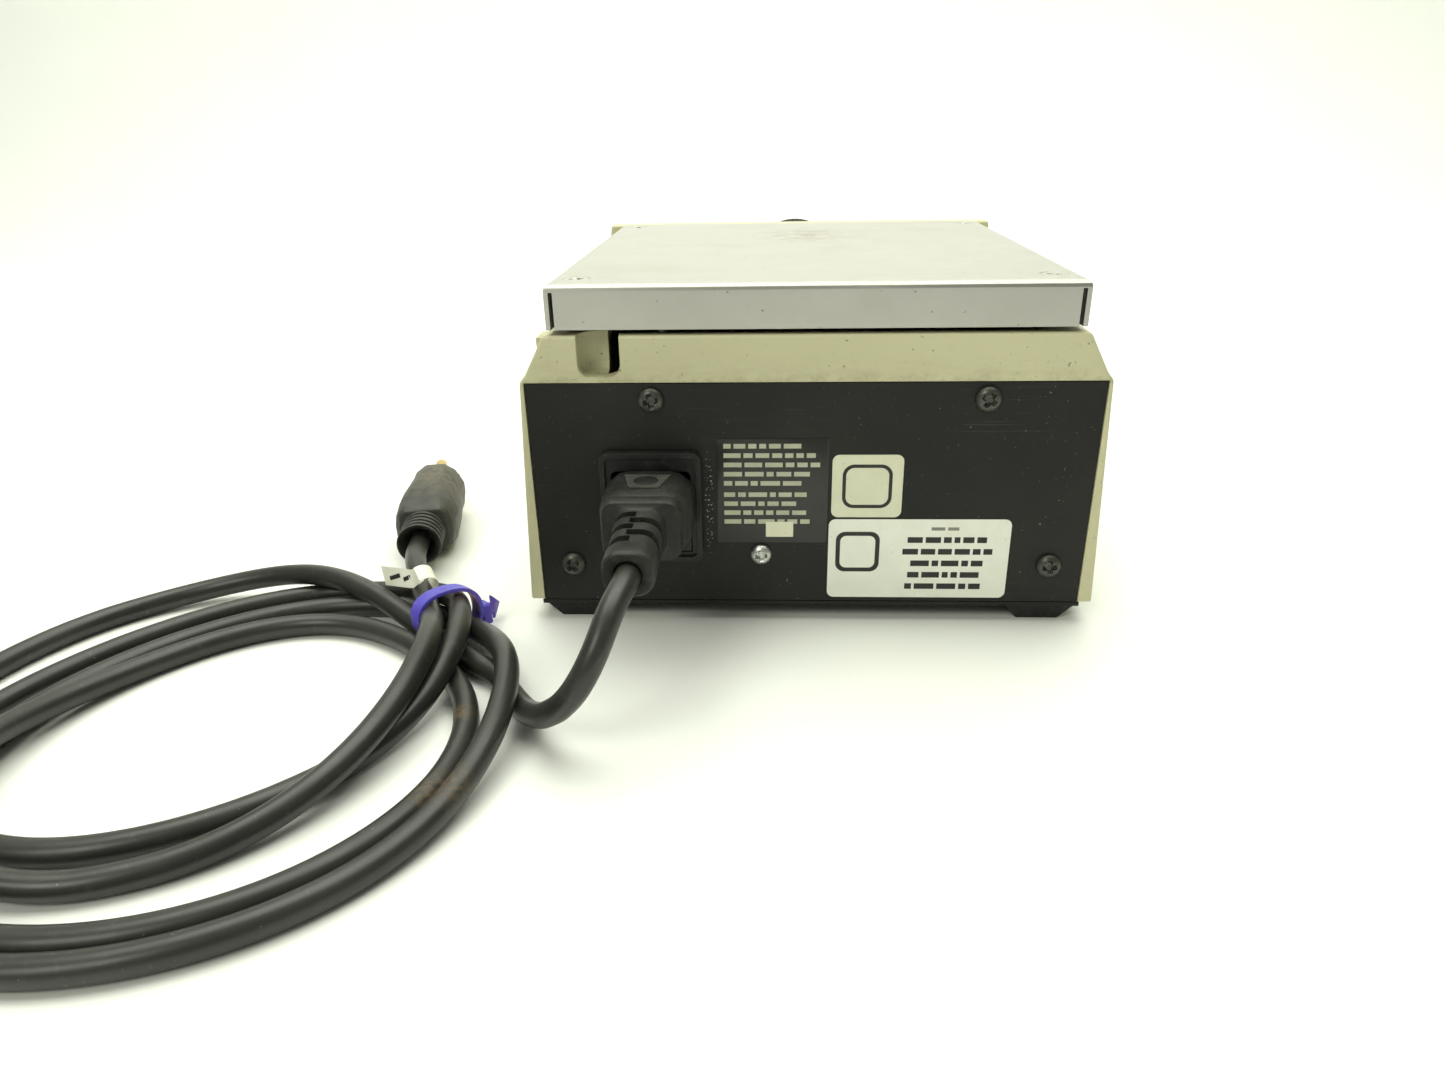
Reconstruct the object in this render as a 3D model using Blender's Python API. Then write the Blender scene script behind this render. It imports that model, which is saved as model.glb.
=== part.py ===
"""Vortex mixer with a flat orbiting platform and a detachable mains lead.

The object stands on four rubber feet with its controls to the front (-Y) and its mains
inlet to the rear (+Y). Lengths below are millimetres; every mesh is scaled to metres when
its object is made. "Depth" is the distance forward of the rear face of the case, so that
points behind the case, such as those of the mains lead, have a negative depth.
"""

import math

import bmesh
import bpy
from mathutils import Matrix, Vector

MM = 0.001
GAP = 0.3  # clearance between neighbouring pieces

# Case
REAR_Y = 118.55
CASE_DEPTH = 240.0
CASE_BOTTOM_Z = 7.2
CASE_BOTTOM_HALF = 92.1
SHOULDER_HALF, SHOULDER_Z = 88.8, 80.8
SHELF_HALF, SHELF_Z = 86.9, 83.0
DECK_HALF, DECK_Z = 80.5, 94.9
RIM_HALF, RIM_Z = 85.0, 109.0
CONSOLE_DEPTH = 173.5  # where the console rises out of the deck
SLOPE_TOP_DEPTH = 184.0
FRONT_EDGE_Z = 62.0
WALL = 2.8
REAR_WALL = 4.8
WELL_LEFT, WELL_RIGHT = -69.0, 62.0  # the deck's opening under the platform
NOTCH_X, NOTCH_HOLLOW_DEPTH = 64.0, 2.6
NOTCH_HOLLOW = [(3.4, 82.6), (5.4, 83.3), (6.4, 85.6), (6.4, 98.0)]  # radius, z

# Sheet-metal covers
PANEL_HALF, PANEL_TOP, PANEL_BOTTOM = 87.2, 80.5, 7.4
PANEL_FRONT, PANEL_BACK = 0.3, 1.5
REBATE = 1.8
BASE_HALF, BASE_BOTTOM, BASE_TOP = 88.3, 5.5, 6.9
FOOT_X, FOOT_DEPTHS = 75.9, (11.6, 228.4)
FOOT_SECTIONS = [(14.0, 17.2, 0.0), (14.7, 17.7, 0.5), (22.4, 20.4, BASE_BOTTOM - GAP)]  # width, length, z

# Platform
PLATFORM_DEPTH = 86.0  # depth of the platform's centre, and of the motor's axis
PLATE_HALF_X, PLATE_HALF_Y = 79.2, 85.0
PLATE_TOP, PLATE_FLANGE_BOTTOM, SHEET = 109.7, 96.5, 1.5
PLATE_SCREW_X, PLATE_SCREW_Y = 71.3, 73.1
ECCENTRICITY = 1.8  # orbit radius
CARRIER_TOP, CARRIER_BOTTOM = 107.9, 104.0
IDLER_X, IDLER_Y = 46.0, 50.0

# Drive
FRAME_TOP, FRAME_SHEET = 72.0, 2.0
MOTOR_RADIUS, MOTOR_BOTTOM = 32.0, 16.0
SHAFT_RADIUS = 4.0
PIN_RADIUS = 4.0
IDLER_PIN_RADIUS = 3.0

# Mains inlet and connector
INLET_X = 49.8
BEZEL_Z, BEZEL_WIDTH, BEZEL_HEIGHT, BEZEL_FACE = 41.05, 31.6, 36.5, 2.9
INLET_BODY_WIDTH, INLET_BODY_HEIGHT, INLET_BODY_DEPTH = 27.4, 33.5, 30.0
SOCKET_Z, SOCKET_WIDTH, SOCKET_HEIGHT, SOCKET_DEPTH = 44.6, 25.0, 17.2, 15.0
DRAWER_Z, DRAWER_WIDTH, DRAWER_HEIGHT = 29.4, 24.4, 6.6
FUSE_RADIUS, FUSE_LENGTH = 2.5, 20.0
CONNECTOR_END = -57.7

# Mains lead: what lies behind the case on the standing surface
CORD_RADIUS = 3.55
COIL_X, COIL_DEPTH = 169.5, -62.0
COIL_INNER, COIL_OUTER = 50.0, 92.0
COIL_BOTTOM, COIL_TOP = 1.8, 21.0
TIE_ANGLE = math.radians(221)  # round the coil's centre, from +X
TIE_THICKNESS, TIE_WIDTH = 1.2, 7.0
PLUG_X, PLUG_DEPTH, PLUG_Z = 140.8, 33.0, 12.2
PLUG_HEADING = math.radians(-79)
BLADE_X, BLADE_HALF, BLADE_WIDTH, BLADE_LENGTH = 6.35, 0.75, 6.4, 16.0
EARTH_PIN_Y, EARTH_PIN_RADIUS = 5.0, 2.4

# The lead from the connector's strain relief down to the coil, as (x, depth, z)
LEAD_ROUTE = [
    (49.8, -58.0, 44.0),
    (50.1, -62.0, 43.8),
    (51.4, -67.0, 42.4),
    (53.1, -72.8, 39.4),
    (55.0, -77.3, 34.8),
    (57.6, -80.0, 29.4),
    (61.0, -80.8, 23.6),
    (65.6, -78.8, 17.4),
    (70.4, -74.4, 12.2),
    (73.3, -71.0, 9.4),
]

# Control panel: a plate set into the sloping console face
SLOPE_DROP = RIM_Z - FRONT_EDGE_Z
SLOPE_RUN = CASE_DEPTH - SLOPE_TOP_DEPTH
SLOPE_ANGLE = math.atan2(SLOPE_DROP, SLOPE_RUN)
CONTROL_HALF_X, CONTROL_HALF_Y, CONTROL_SHEET = 75.0, 29.0, 1.5
KNOB_X, KNOB_Y, KNOB_RADIUS, KNOB_HEIGHT = 0.7, 3.5, 14.5, 16.0
SWITCH_X, SWITCH_Y = -50.0, 0.0
ROCKER_TILT = math.radians(10)
LAMP_X, LAMP_Y = -27.0, 0.0

# Screws
PANEL_SCREWS = [(48.8, 75.4), (-52.6, 75.4), (76.7, 20.5), (-76.7, 20.5)]
GROUND_SCREW = (15.3, 24.2)

MATERIALS = {
    "case_paint": ((0.55, 0.53, 0.40), 0.55, 0.0),
    "black_paint": ((0.03, 0.03, 0.03), 0.5, 0.0),
    "steel": ((0.62, 0.60, 0.56), 0.35, 1.0),
    "zinc": ((0.70, 0.70, 0.68), 0.3, 1.0),
    "black_screw": ((0.04, 0.04, 0.04), 0.35, 0.6),
    "aluminium": ((0.72, 0.72, 0.73), 0.4, 1.0),
    "brass": ((0.75, 0.58, 0.30), 0.35, 1.0),
    "black_plastic": ((0.03, 0.03, 0.03), 0.45, 0.0),
    "rubber": ((0.04, 0.04, 0.04), 0.7, 0.0),
    "cord_jacket": ((0.05, 0.05, 0.05), 0.45, 0.0),
    "tie_plastic": ((0.16, 0.12, 0.55), 0.4, 0.0),
    "lamp_lens": ((0.1, 0.6, 0.15), 0.2, 0.0),
    "panel_overlay": ((0.12, 0.12, 0.13), 0.45, 0.0),
    "board": ((0.05, 0.25, 0.10), 0.5, 0.0),
    "fuse_glass": ((0.75, 0.78, 0.78), 0.1, 0.0),
}


def y_at(depth):
    return REAR_Y - depth


def clear_scene():
    for item in list(bpy.data.objects):
        bpy.data.objects.remove(item, do_unlink=True)


def material(name):
    found = bpy.data.materials.get(name)
    if found:
        return found
    colour, roughness, metallic = MATERIALS[name]
    made = bpy.data.materials.new(name)
    made.use_nodes = True
    shader = made.node_tree.nodes["Principled BSDF"]
    shader.inputs["Base Color"].default_value = (*colour, 1.0)
    shader.inputs["Roughness"].default_value = roughness
    shader.inputs["Metallic"].default_value = metallic
    return made


def make_object(name, bm, finish, origin=(0.0, 0.0, 0.0)):
    """Turn a bmesh in millimetres into an object whose origin is at the given point."""
    bmesh.ops.recalc_face_normals(bm, faces=bm.faces)
    bmesh.ops.translate(bm, verts=bm.verts, vec=-Vector(origin))
    bmesh.ops.scale(bm, verts=bm.verts, vec=(MM, MM, MM))
    mesh = bpy.data.meshes.new(name)
    bm.to_mesh(mesh)
    bm.free()
    mesh.shade_smooth()
    mesh.set_sharp_from_angle(angle=math.radians(35))
    made = bpy.data.objects.new(name, mesh)
    made.location = Vector(origin) * MM
    if finish:
        mesh.materials.append(material(finish))
    bpy.context.scene.collection.objects.link(made)
    return made


def make_tool(name, bm):
    """A hidden solid that other pieces are cut by or joined with."""
    tool = make_object(name, bm, None)
    tool.hide_render = True
    tool.display_type = "WIRE"
    return tool


def combine(target, tool, operation="DIFFERENCE"):
    step = target.modifiers.new(tool.name, "BOOLEAN")
    step.operation = operation
    step.solver = "EXACT"
    step.object = tool


def bevel(target, width, segments=2, angle=40.0):
    step = target.modifiers.new("edges", "BEVEL")
    step.width = width * MM
    step.segments = segments
    step.limit_method = "ANGLE"
    step.angle_limit = math.radians(angle)


def add_box(bm, low, high):
    low, high = Vector(low), Vector(high)
    size = high - low
    matrix = Matrix.Translation((low + high) / 2) @ Matrix.Diagonal((*size, 1.0))
    bmesh.ops.create_cube(bm, size=1.0, matrix=matrix)


def box(low, high):
    bm = bmesh.new()
    add_box(bm, low, high)
    return bm


def add_loft(bm, rings):
    """Skin a list of closed rings, each a list of points, and cap both ends."""
    loops = [[bm.verts.new(point) for point in ring] for ring in rings]
    count = len(loops[0])
    for lower, upper in zip(loops, loops[1:]):
        for i in range(count):
            j = (i + 1) % count
            bm.faces.new((lower[i], lower[j], upper[j], upper[i]))
    bm.faces.new(loops[0])
    bm.faces.new(loops[-1])


def loft(rings):
    bm = bmesh.new()
    add_loft(bm, rings)
    return bm


AXIS_FRAMES = {
    "X": Matrix(((0, 0, 1), (1, 0, 0), (0, 1, 0))),
    "Y": Matrix(((1, 0, 0), (0, 0, 1), (0, 1, 0))),
    "Z": Matrix.Identity(3),
}


def add_prism(bm, outline, start, end, axis):
    """Extrude a 2-D outline along an axis. The outline is (y, z), (x, z) or (x, y)."""
    turn = AXIS_FRAMES[axis]
    add_loft(bm, [[turn @ Vector((a, b, level)) for a, b in outline] for level in (start, end)])


def prism(outline, start, end, axis):
    bm = bmesh.new()
    add_prism(bm, outline, start, end, axis)
    return bm


def arc(centre, radius, start, end, steps):
    """Points on an arc, angles in degrees."""
    angles = [math.radians(start + (end - start) * i / steps) for i in range(steps + 1)]
    return [(centre[0] + radius * math.cos(a), centre[1] + radius * math.sin(a)) for a in angles]


def rounded_rectangle(centre, width, height, radius, steps=3):
    points = []
    corners = ((1, 1, 0), (-1, 1, 90), (-1, -1, 180), (1, -1, 270))
    for side_x, side_y, angle in corners:
        middle = (
            centre[0] + side_x * (width / 2 - radius),
            centre[1] + side_y * (height / 2 - radius),
        )
        points += arc(middle, radius, angle, angle + 90, steps)
    return points


def circle(centre, radius, count):
    return [
        (centre[0] + radius * math.cos(math.tau * i / count),
         centre[1] + radius * math.sin(math.tau * i / count))
        for i in range(count)
    ]


def add_turned(bm, profile, centre, axis="Z", count=28):
    """Turn a profile of (radius, level) pairs about a line through a 2-D centre."""
    turn = AXIS_FRAMES[axis]
    rings = [
        [turn @ Vector((a, b, level)) for a, b in circle(centre, radius, count)]
        for radius, level in profile
    ]
    add_loft(bm, rings)


def turned(profile, centre, axis="Z", count=28):
    bm = bmesh.new()
    add_turned(bm, profile, centre, axis, count)
    return bm


def cylinder(centre, radius, start, end, axis="Z", count=28):
    return turned([(radius, start), (radius, end)], centre, axis, count)


def turned_ring(profile, centre, count):
    """Turn a closed profile of (radius, level) pairs into a ring."""
    bm = bmesh.new()
    loops = []
    for i in range(count):
        angle = math.tau * i / count
        loops.append([
            bm.verts.new((
                centre[0] + radius * math.cos(angle),
                centre[1] + radius * math.sin(angle),
                level,
            ))
            for radius, level in profile
        ])
    size = len(profile)
    for a in range(count):
        here, there = loops[a], loops[(a + 1) % count]
        for i in range(size):
            j = (i + 1) % size
            bm.faces.new((here[i], here[j], there[j], there[i]))
    return bm


# ---------------------------------------------------------------- case


def case_solid(inset, bottom_z, rear_depth):
    """The case's outer form, or with an inset the hollow inside its wall."""
    lean = (CASE_BOTTOM_HALF - SHOULDER_HALF) / (SHOULDER_Z - CASE_BOTTOM_Z)
    slope_shift = inset / math.sin(SLOPE_ANGLE)
    run_per_drop = SLOPE_RUN / SLOPE_DROP

    def side_x(z):
        return SHOULDER_HALF + lean * (SHOULDER_Z - z) - inset

    def slope_depth(z):
        return SLOPE_TOP_DEPTH + (RIM_Z - z) * run_per_drop - slope_shift

    front = CASE_DEPTH - inset
    step = CONSOLE_DEPTH + inset
    rim_z, deck_z = RIM_Z - inset, DECK_Z - inset
    front_z = RIM_Z - (front - SLOPE_TOP_DEPTH + slope_shift) / run_per_drop
    corners = {
        "rear_bottom": (side_x(bottom_z), rear_depth, bottom_z),
        "rear_shoulder": (side_x(SHOULDER_Z), rear_depth, SHOULDER_Z),
        "rear_shelf": (SHELF_HALF - inset, rear_depth, SHELF_Z),
        "rear_deck": (DECK_HALF - inset, rear_depth, deck_z),
        "step_shoulder": (side_x(SHOULDER_Z), step, SHOULDER_Z),
        "step_shelf": (SHELF_HALF - inset, step, SHELF_Z),
        "step_deck": (DECK_HALF - inset, step, deck_z),
        "step_rim": (RIM_HALF - inset, step, rim_z),
        "slope_rim": (RIM_HALF - inset, slope_depth(rim_z), rim_z),
        "slope_shoulder": (side_x(SHOULDER_Z), slope_depth(SHOULDER_Z), SHOULDER_Z),
        "front_top": (side_x(front_z), front, front_z),
        "front_bottom": (side_x(bottom_z), front, bottom_z),
    }
    bm = bmesh.new()
    right = {k: bm.verts.new((x, y_at(d), z)) for k, (x, d, z) in corners.items()}
    left = {k: bm.verts.new((-x, y_at(d), z)) for k, (x, d, z) in corners.items()}
    for side in (right, left):
        for names in (
            ("rear_bottom", "rear_shoulder", "step_shoulder", "slope_shoulder", "front_top",
             "front_bottom"),
            ("rear_shoulder", "rear_shelf", "step_shelf", "step_shoulder"),
            ("rear_shelf", "rear_deck", "step_deck", "step_shelf"),
            ("step_shoulder", "step_rim", "slope_rim", "slope_shoulder"),
        ):
            bm.faces.new([side[n] for n in names])
    for names in (
        ("rear_bottom", "rear_shoulder", "rear_shelf", "rear_deck"),
        ("step_deck", "step_shelf", "step_shoulder", "step_rim"),
        ("rear_deck", "step_deck"),
        ("step_rim", "slope_rim"),
        ("slope_rim", "slope_shoulder", "front_top"),
        ("front_top", "front_bottom"),
        ("front_bottom", "rear_bottom"),
    ):
        bm.faces.new([right[n] for n in names] + [left[n] for n in reversed(names)])
    return bm


def control_frame():
    """Local frame of the sloping face: x across, y up the slope, z out of it."""
    middle = (0.0, y_at((SLOPE_TOP_DEPTH + CASE_DEPTH) / 2), (RIM_Z + FRONT_EDGE_Z) / 2)
    return Matrix.Translation(middle) @ Matrix.Rotation(SLOPE_ANGLE, 4, "X")


def on_slope(bm):
    bmesh.ops.transform(bm, matrix=control_frame(), verts=bm.verts)
    return bm


def slope_point(x, y, z):
    return control_frame() @ Vector((x, y, z))


def u_channel_outline():
    """The U-shaped notch at the left of the rear wall, with round bottom corners."""
    middle, half, bottom, top, radius = 64.0, 6.45, 82.5, 97.0, 3.5
    points = arc((middle - half + radius, bottom + radius), radius, 180, 270, 4)
    points += arc((middle + half - radius, bottom + radius), radius, 270, 360, 4)
    return points + [(middle + half, top), (middle - half, top)]


def build_housing():
    housing = make_object("housing", case_solid(0.0, CASE_BOTTOM_Z, 0.0), "case_paint")
    bevel(housing, 0.9, 2, 20.0)
    hollow = make_tool("case_hollow", case_solid(WALL, CASE_BOTTOM_Z - 4.0, REAR_WALL))
    combine(housing, hollow)
    boss = box((WELL_RIGHT, y_at(13.0), 79.0), (83.0, y_at(3.0), DECK_Z - 1.0))
    combine(housing, make_tool("channel_boss", boss), "UNION")
    channel = prism(u_channel_outline(), y_at(4.0), y_at(-2.0), "Y")
    combine(housing, make_tool("channel_cut", channel))
    hollow = turned(NOTCH_HOLLOW, (NOTCH_X, y_at(NOTCH_HOLLOW_DEPTH)), "Z", 40)
    combine(housing, make_tool("channel_hollow", hollow))
    well = box((WELL_LEFT, y_at(164.0), DECK_Z - 12.0), (WELL_RIGHT, y_at(REAR_WALL), DECK_Z + 3.0))
    combine(housing, make_tool("drive_well", well))
    rebate = box((-PANEL_HALF - GAP, y_at(REBATE), 0.0),
                 (PANEL_HALF + GAP, y_at(-3.0), PANEL_TOP + GAP))
    combine(housing, make_tool("panel_rebate", rebate))
    window = box((-71.0, y_at(REAR_WALL + 2.0), 11.0), (71.0, y_at(-1.0), 70.5))
    combine(housing, make_tool("panel_window", window))
    for i, (x, z) in enumerate(PANEL_SCREWS):
        hole = cylinder((x, z), 2.0, y_at(REAR_WALL + 3.0), y_at(0.0), "Y", 14)
        combine(housing, make_tool(f"panel_screw_hole_{i + 1}", hole))
    seat = on_slope(box((-CONTROL_HALF_X - GAP, -CONTROL_HALF_Y - GAP, -REBATE),
                        (CONTROL_HALF_X + GAP, CONTROL_HALF_Y + GAP, 5.0)))
    combine(housing, make_tool("control_seat", seat))
    opening = on_slope(box((-70.0, -24.0, -9.0), (70.0, 24.0, 2.0)))
    combine(housing, make_tool("control_opening", opening))


def build_rear_panel():
    low = (-PANEL_HALF, y_at(PANEL_BACK), PANEL_BOTTOM)
    high = (PANEL_HALF, y_at(PANEL_FRONT), PANEL_TOP)
    panel = make_object("rear_panel", box(low, high), "black_paint")
    half_width, half_height = INLET_BODY_WIDTH / 2 + GAP, INLET_BODY_HEIGHT / 2 + GAP
    cut = box((INLET_X - half_width, y_at(4.0), BEZEL_Z - half_height),
              (INLET_X + half_width, y_at(-2.0), BEZEL_Z + half_height))
    combine(panel, make_tool("inlet_cutout", cut))
    for i, (x, z) in enumerate(PANEL_SCREWS + [GROUND_SCREW]):
        hole = cylinder((x, z), 2.0, y_at(4.0), y_at(-2.0), "Y", 14)
        combine(panel, make_tool(f"rear_panel_hole_{i + 1}", hole))


def build_base():
    inset = 0.8
    plate = box((-BASE_HALF, y_at(CASE_DEPTH - inset), BASE_BOTTOM),
                (BASE_HALF, y_at(inset), BASE_TOP))
    make_object("base_plate", plate, "black_paint")
    places = [(x, depth) for depth in FOOT_DEPTHS for x in (FOOT_X, -FOOT_X)]
    for i, (x, depth) in enumerate(places):
        rings = [
            [(a, b, z) for a, b in rounded_rectangle((x, y_at(depth)), width, length, 0.8, 3)]
            for width, length, z in FOOT_SECTIONS
        ]
        make_object(f"foot_{i + 1}", loft(rings), "rubber")


def pan_screw(name, x, z, finish, head_radius, shank_end):
    """A pan-head screw driven forward into the rear face."""
    under_head = y_at(0.0)
    profile = [
        (1.7, y_at(shank_end)),
        (1.7, under_head),
        (head_radius, under_head),
        (head_radius, under_head + 0.7),
        (head_radius * 0.82, under_head + 1.7),
        (head_radius * 0.45, under_head + 2.25),
    ]
    make_object(name, turned(profile, (x, z), "Y", 20), finish)


def build_rear_screws():
    for i, (x, z) in enumerate(PANEL_SCREWS):
        pan_screw(f"rear_screw_{i + 1}", x, z, "black_screw", 3.9, 7.0)
    pan_screw("ground_screw", *GROUND_SCREW, "zinc", 3.4, 12.0)


# ---------------------------------------------------------------- drive


def platform_points():
    """Centres of the four platform screws."""
    middle = y_at(PLATFORM_DEPTH)
    return [(x, middle + y) for y in (PLATE_SCREW_Y, -PLATE_SCREW_Y)
            for x in (PLATE_SCREW_X, -PLATE_SCREW_X)]


def idler_points():
    middle = y_at(PLATFORM_DEPTH)
    return [(x, middle + y) for y in (IDLER_Y, -IDLER_Y) for x in (IDLER_X, -IDLER_X)]


def build_drive_frame():
    """A bridge of folded steel that stands on the base plate and carries the motor."""
    foot, leg, sheet, low = 84.0, 70.0, FRAME_SHEET, BASE_TOP + GAP
    half = [(foot, low), (foot, low + sheet), (leg + sheet, low + sheet), (leg + sheet, FRAME_TOP)]
    inner = [(leg, FRAME_TOP - sheet), (leg, low)]
    outline = half + [(-x, z) for x, z in reversed(half)]
    outline += [(-x, z) for x, z in reversed(inner)] + inner
    frame = make_object("drive_frame", prism(outline, y_at(152.0), y_at(20.0), "Y"), "steel")
    centre = (0.0, y_at(PLATFORM_DEPTH))
    cut = cylinder(centre, 10.0, FRAME_TOP - 6.0, FRAME_TOP + 4.0)
    combine(frame, make_tool("motor_boss_hole", cut))
    for i, point in enumerate(idler_points()):
        hole = cylinder(point, 5.3, FRAME_TOP - 6.0, FRAME_TOP + 4.0, "Z", 20)
        combine(frame, make_tool(f"idler_bush_hole_{i + 1}", hole))


def build_motor():
    centre = (0.0, y_at(PLATFORM_DEPTH))
    top = FRAME_TOP - FRAME_SHEET - GAP
    profile = [
        (12.0, MOTOR_BOTTOM - 4.0),
        (12.0, MOTOR_BOTTOM),
        (MOTOR_RADIUS - 3.0, MOTOR_BOTTOM),
        (MOTOR_RADIUS, MOTOR_BOTTOM + 3.0),
        (MOTOR_RADIUS, top - 3.0),
        (MOTOR_RADIUS - 3.0, top),
        (9.6, top),
        (9.6, top + 2.6),
    ]
    motor = make_object("motor", turned(profile, centre, "Z", 36), "steel")
    bore = cylinder(centre, SHAFT_RADIUS + GAP, 48.0, top + 6.0, "Z", 20)
    combine(motor, make_tool("motor_bore", bore))
    shaft = cylinder(centre, SHAFT_RADIUS, 49.0, 86.0, "Z", 20)
    make_object("motor_shaft", shaft, "zinc", (*centre, 49.0))


def build_drive_crank():
    """A hub on the motor shaft with an offset pin and a counterweight opposite to it."""
    middle = y_at(PLATFORM_DEPTH)
    crank = make_object("drive_crank", cylinder((0.0, middle), 15.0, 74.0, 88.0), "steel",
                        (0.0, middle, 74.0))
    weight = arc((0.0, middle), 33.0, 105, 255, 14) + arc((0.0, middle), 8.0, 255, 105, 8)
    combine(crank, make_tool("crank_weight", prism(weight, 75.5, 83.5, "Z")), "UNION")
    pin = cylinder((ECCENTRICITY, middle), PIN_RADIUS, 80.0, 101.0, "Z", 20)
    combine(crank, make_tool("crank_pin", pin), "UNION")
    bore = cylinder((0.0, middle), SHAFT_RADIUS + GAP, 70.0, 86.3, "Z", 20)
    combine(crank, make_tool("crank_bore", bore))


def build_idlers():
    """Four small cranks that follow the motor's crank and keep the platform from turning."""
    for i, (x, y) in enumerate(idler_points()):
        crank = make_object(
            f"idler_crank_{i + 1}",
            turned([(SHAFT_RADIUS, 62.0), (SHAFT_RADIUS, 74.1), (8.0, 74.1), (8.0, 80.0)],
                   (x, y), "Z", 20),
            "zinc",
            (x, y, 62.0),
        )
        pin = cylinder((x + ECCENTRICITY, y), IDLER_PIN_RADIUS, 77.0, 102.0, "Z", 16)
        combine(crank, make_tool(f"idler_pin_{i + 1}", pin), "UNION")
        bush = turned([(5.0, 63.0), (5.0, FRAME_TOP + GAP), (7.5, FRAME_TOP + GAP), (7.5, 73.8)],
                      (x, y), "Z", 20)
        bush = make_object(f"idler_bush_{i + 1}", bush, "brass")
        bore = cylinder((x, y), SHAFT_RADIUS + GAP, 60.0, 77.0, "Z", 20)
        combine(bush, make_tool(f"idler_bush_bore_{i + 1}", bore))


# ---------------------------------------------------------------- platform


def countersunk_profile(spread):
    """Profile of a flat-head platform screw, larger all round by the spread."""
    return [
        (2.0 + spread, 101.5 - spread),
        (2.0 + spread, 107.6),
        (4.1 + spread, PLATE_TOP - 0.05),
        (4.1 + spread, PLATE_TOP - 0.05 + 3.0 * spread),
    ]


def build_platform():
    """Everything that orbits. Its axis at rest is the crank pin's, offset along +X."""
    middle = y_at(PLATFORM_DEPTH)
    axis = (ECCENTRICITY, middle, 92.0)
    fold = [(0.0, PLATE_FLANGE_BOTTOM), (0.0, PLATE_TOP - 1.9), (0.25, PLATE_TOP - 0.95),
            (0.95, PLATE_TOP - 0.25), (1.9, PLATE_TOP)]
    rings = []
    for inset, z in fold:
        half_x, half_y = PLATE_HALF_X - inset, PLATE_HALF_Y - inset
        rings.append([
            (half_x, middle + half_y, z), (-half_x, middle + half_y, z),
            (-half_x, middle - half_y, z), (half_x, middle - half_y, z),
        ])
    tray = make_object("platform_plate", loft(rings), "steel", axis)
    inside = box((-PLATE_HALF_X + SHEET, middle - PLATE_HALF_Y + SHEET, PLATE_FLANGE_BOTTOM - 5.0),
                 (PLATE_HALF_X - SHEET, middle + PLATE_HALF_Y - SHEET, PLATE_TOP - SHEET))
    combine(tray, make_tool("tray_hollow", inside))
    slit = bmesh.new()
    for side in (-1, 1):
        for end in (-1, 1):
            x, y = side * (PLATE_HALF_X - SHEET - 0.5), middle + end * PLATE_HALF_Y
            add_box(slit, (x - 0.6, y - 2.4, PLATE_FLANGE_BOTTOM - 3.0),
                    (x + 0.6, y + 2.4, PLATE_TOP - 2.3))
    combine(tray, make_tool("flange_slits", slit))
    holes = bmesh.new()
    for point in platform_points():
        add_turned(holes, countersunk_profile(GAP), point, "Z", 20)
    holes = make_tool("platform_screw_holes", holes)
    combine(tray, holes)
    for i, point in enumerate(platform_points()):
        screw = turned(countersunk_profile(0.0)[:3], point, "Z", 20)
        make_object(f"platform_screw_{i + 1}", screw, "zinc", axis)

    edge = rounded_rectangle((0.0, middle), 148.0, 158.0, 6.0, 3)
    carrier = make_object("platform_carrier", prism(edge, CARRIER_BOTTOM, CARRIER_TOP, "Z"),
                          "aluminium", axis)
    hub = cylinder((ECCENTRICITY, middle), 17.0, 90.5, CARRIER_BOTTOM + 2.0, "Z", 32)
    combine(carrier, make_tool("carrier_hub", hub), "UNION")
    bosses, bores = bmesh.new(), bmesh.new()
    for x, y in idler_points():
        add_turned(bosses, [(7.0, 96.0), (7.0, CARRIER_BOTTOM + 2.0)], (x + ECCENTRICITY, y), "Z", 20)
        add_turned(bores, [(IDLER_PIN_RADIUS + GAP, 90.0), (IDLER_PIN_RADIUS + GAP, 102.6)],
                   (x + ECCENTRICITY, y), "Z", 16)
    combine(carrier, make_tool("carrier_bosses", bosses), "UNION")
    add_turned(bores, [(11.0 + GAP, 85.0), (11.0 + GAP, 99.6), (8.0, 99.6), (8.0, 102.0)],
               (ECCENTRICITY, middle), "Z", 28)
    combine(carrier, make_tool("carrier_bores", bores))
    combine(carrier, holes)

    bearing_profile = [
        (PIN_RADIUS + GAP, 92.4), (10.6, 92.0), (11.0, 92.4), (11.0, 98.9), (10.6, 99.3),
        (PIN_RADIUS + GAP, 98.9),
    ]
    bearing = turned_ring(bearing_profile, (ECCENTRICITY, middle), 28)
    make_object("platform_bearing", bearing, "zinc", axis)


# ---------------------------------------------------------------- mains inlet


def inlet_pin_points():
    """Earth, live and neutral blade centres."""
    return [
        ("earth", INLET_X, SOCKET_Z + 2.0),
        ("live", INLET_X + 7.0, SOCKET_Z - 2.0),
        ("neutral", INLET_X - 7.0, SOCKET_Z - 2.0),
    ]


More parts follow.
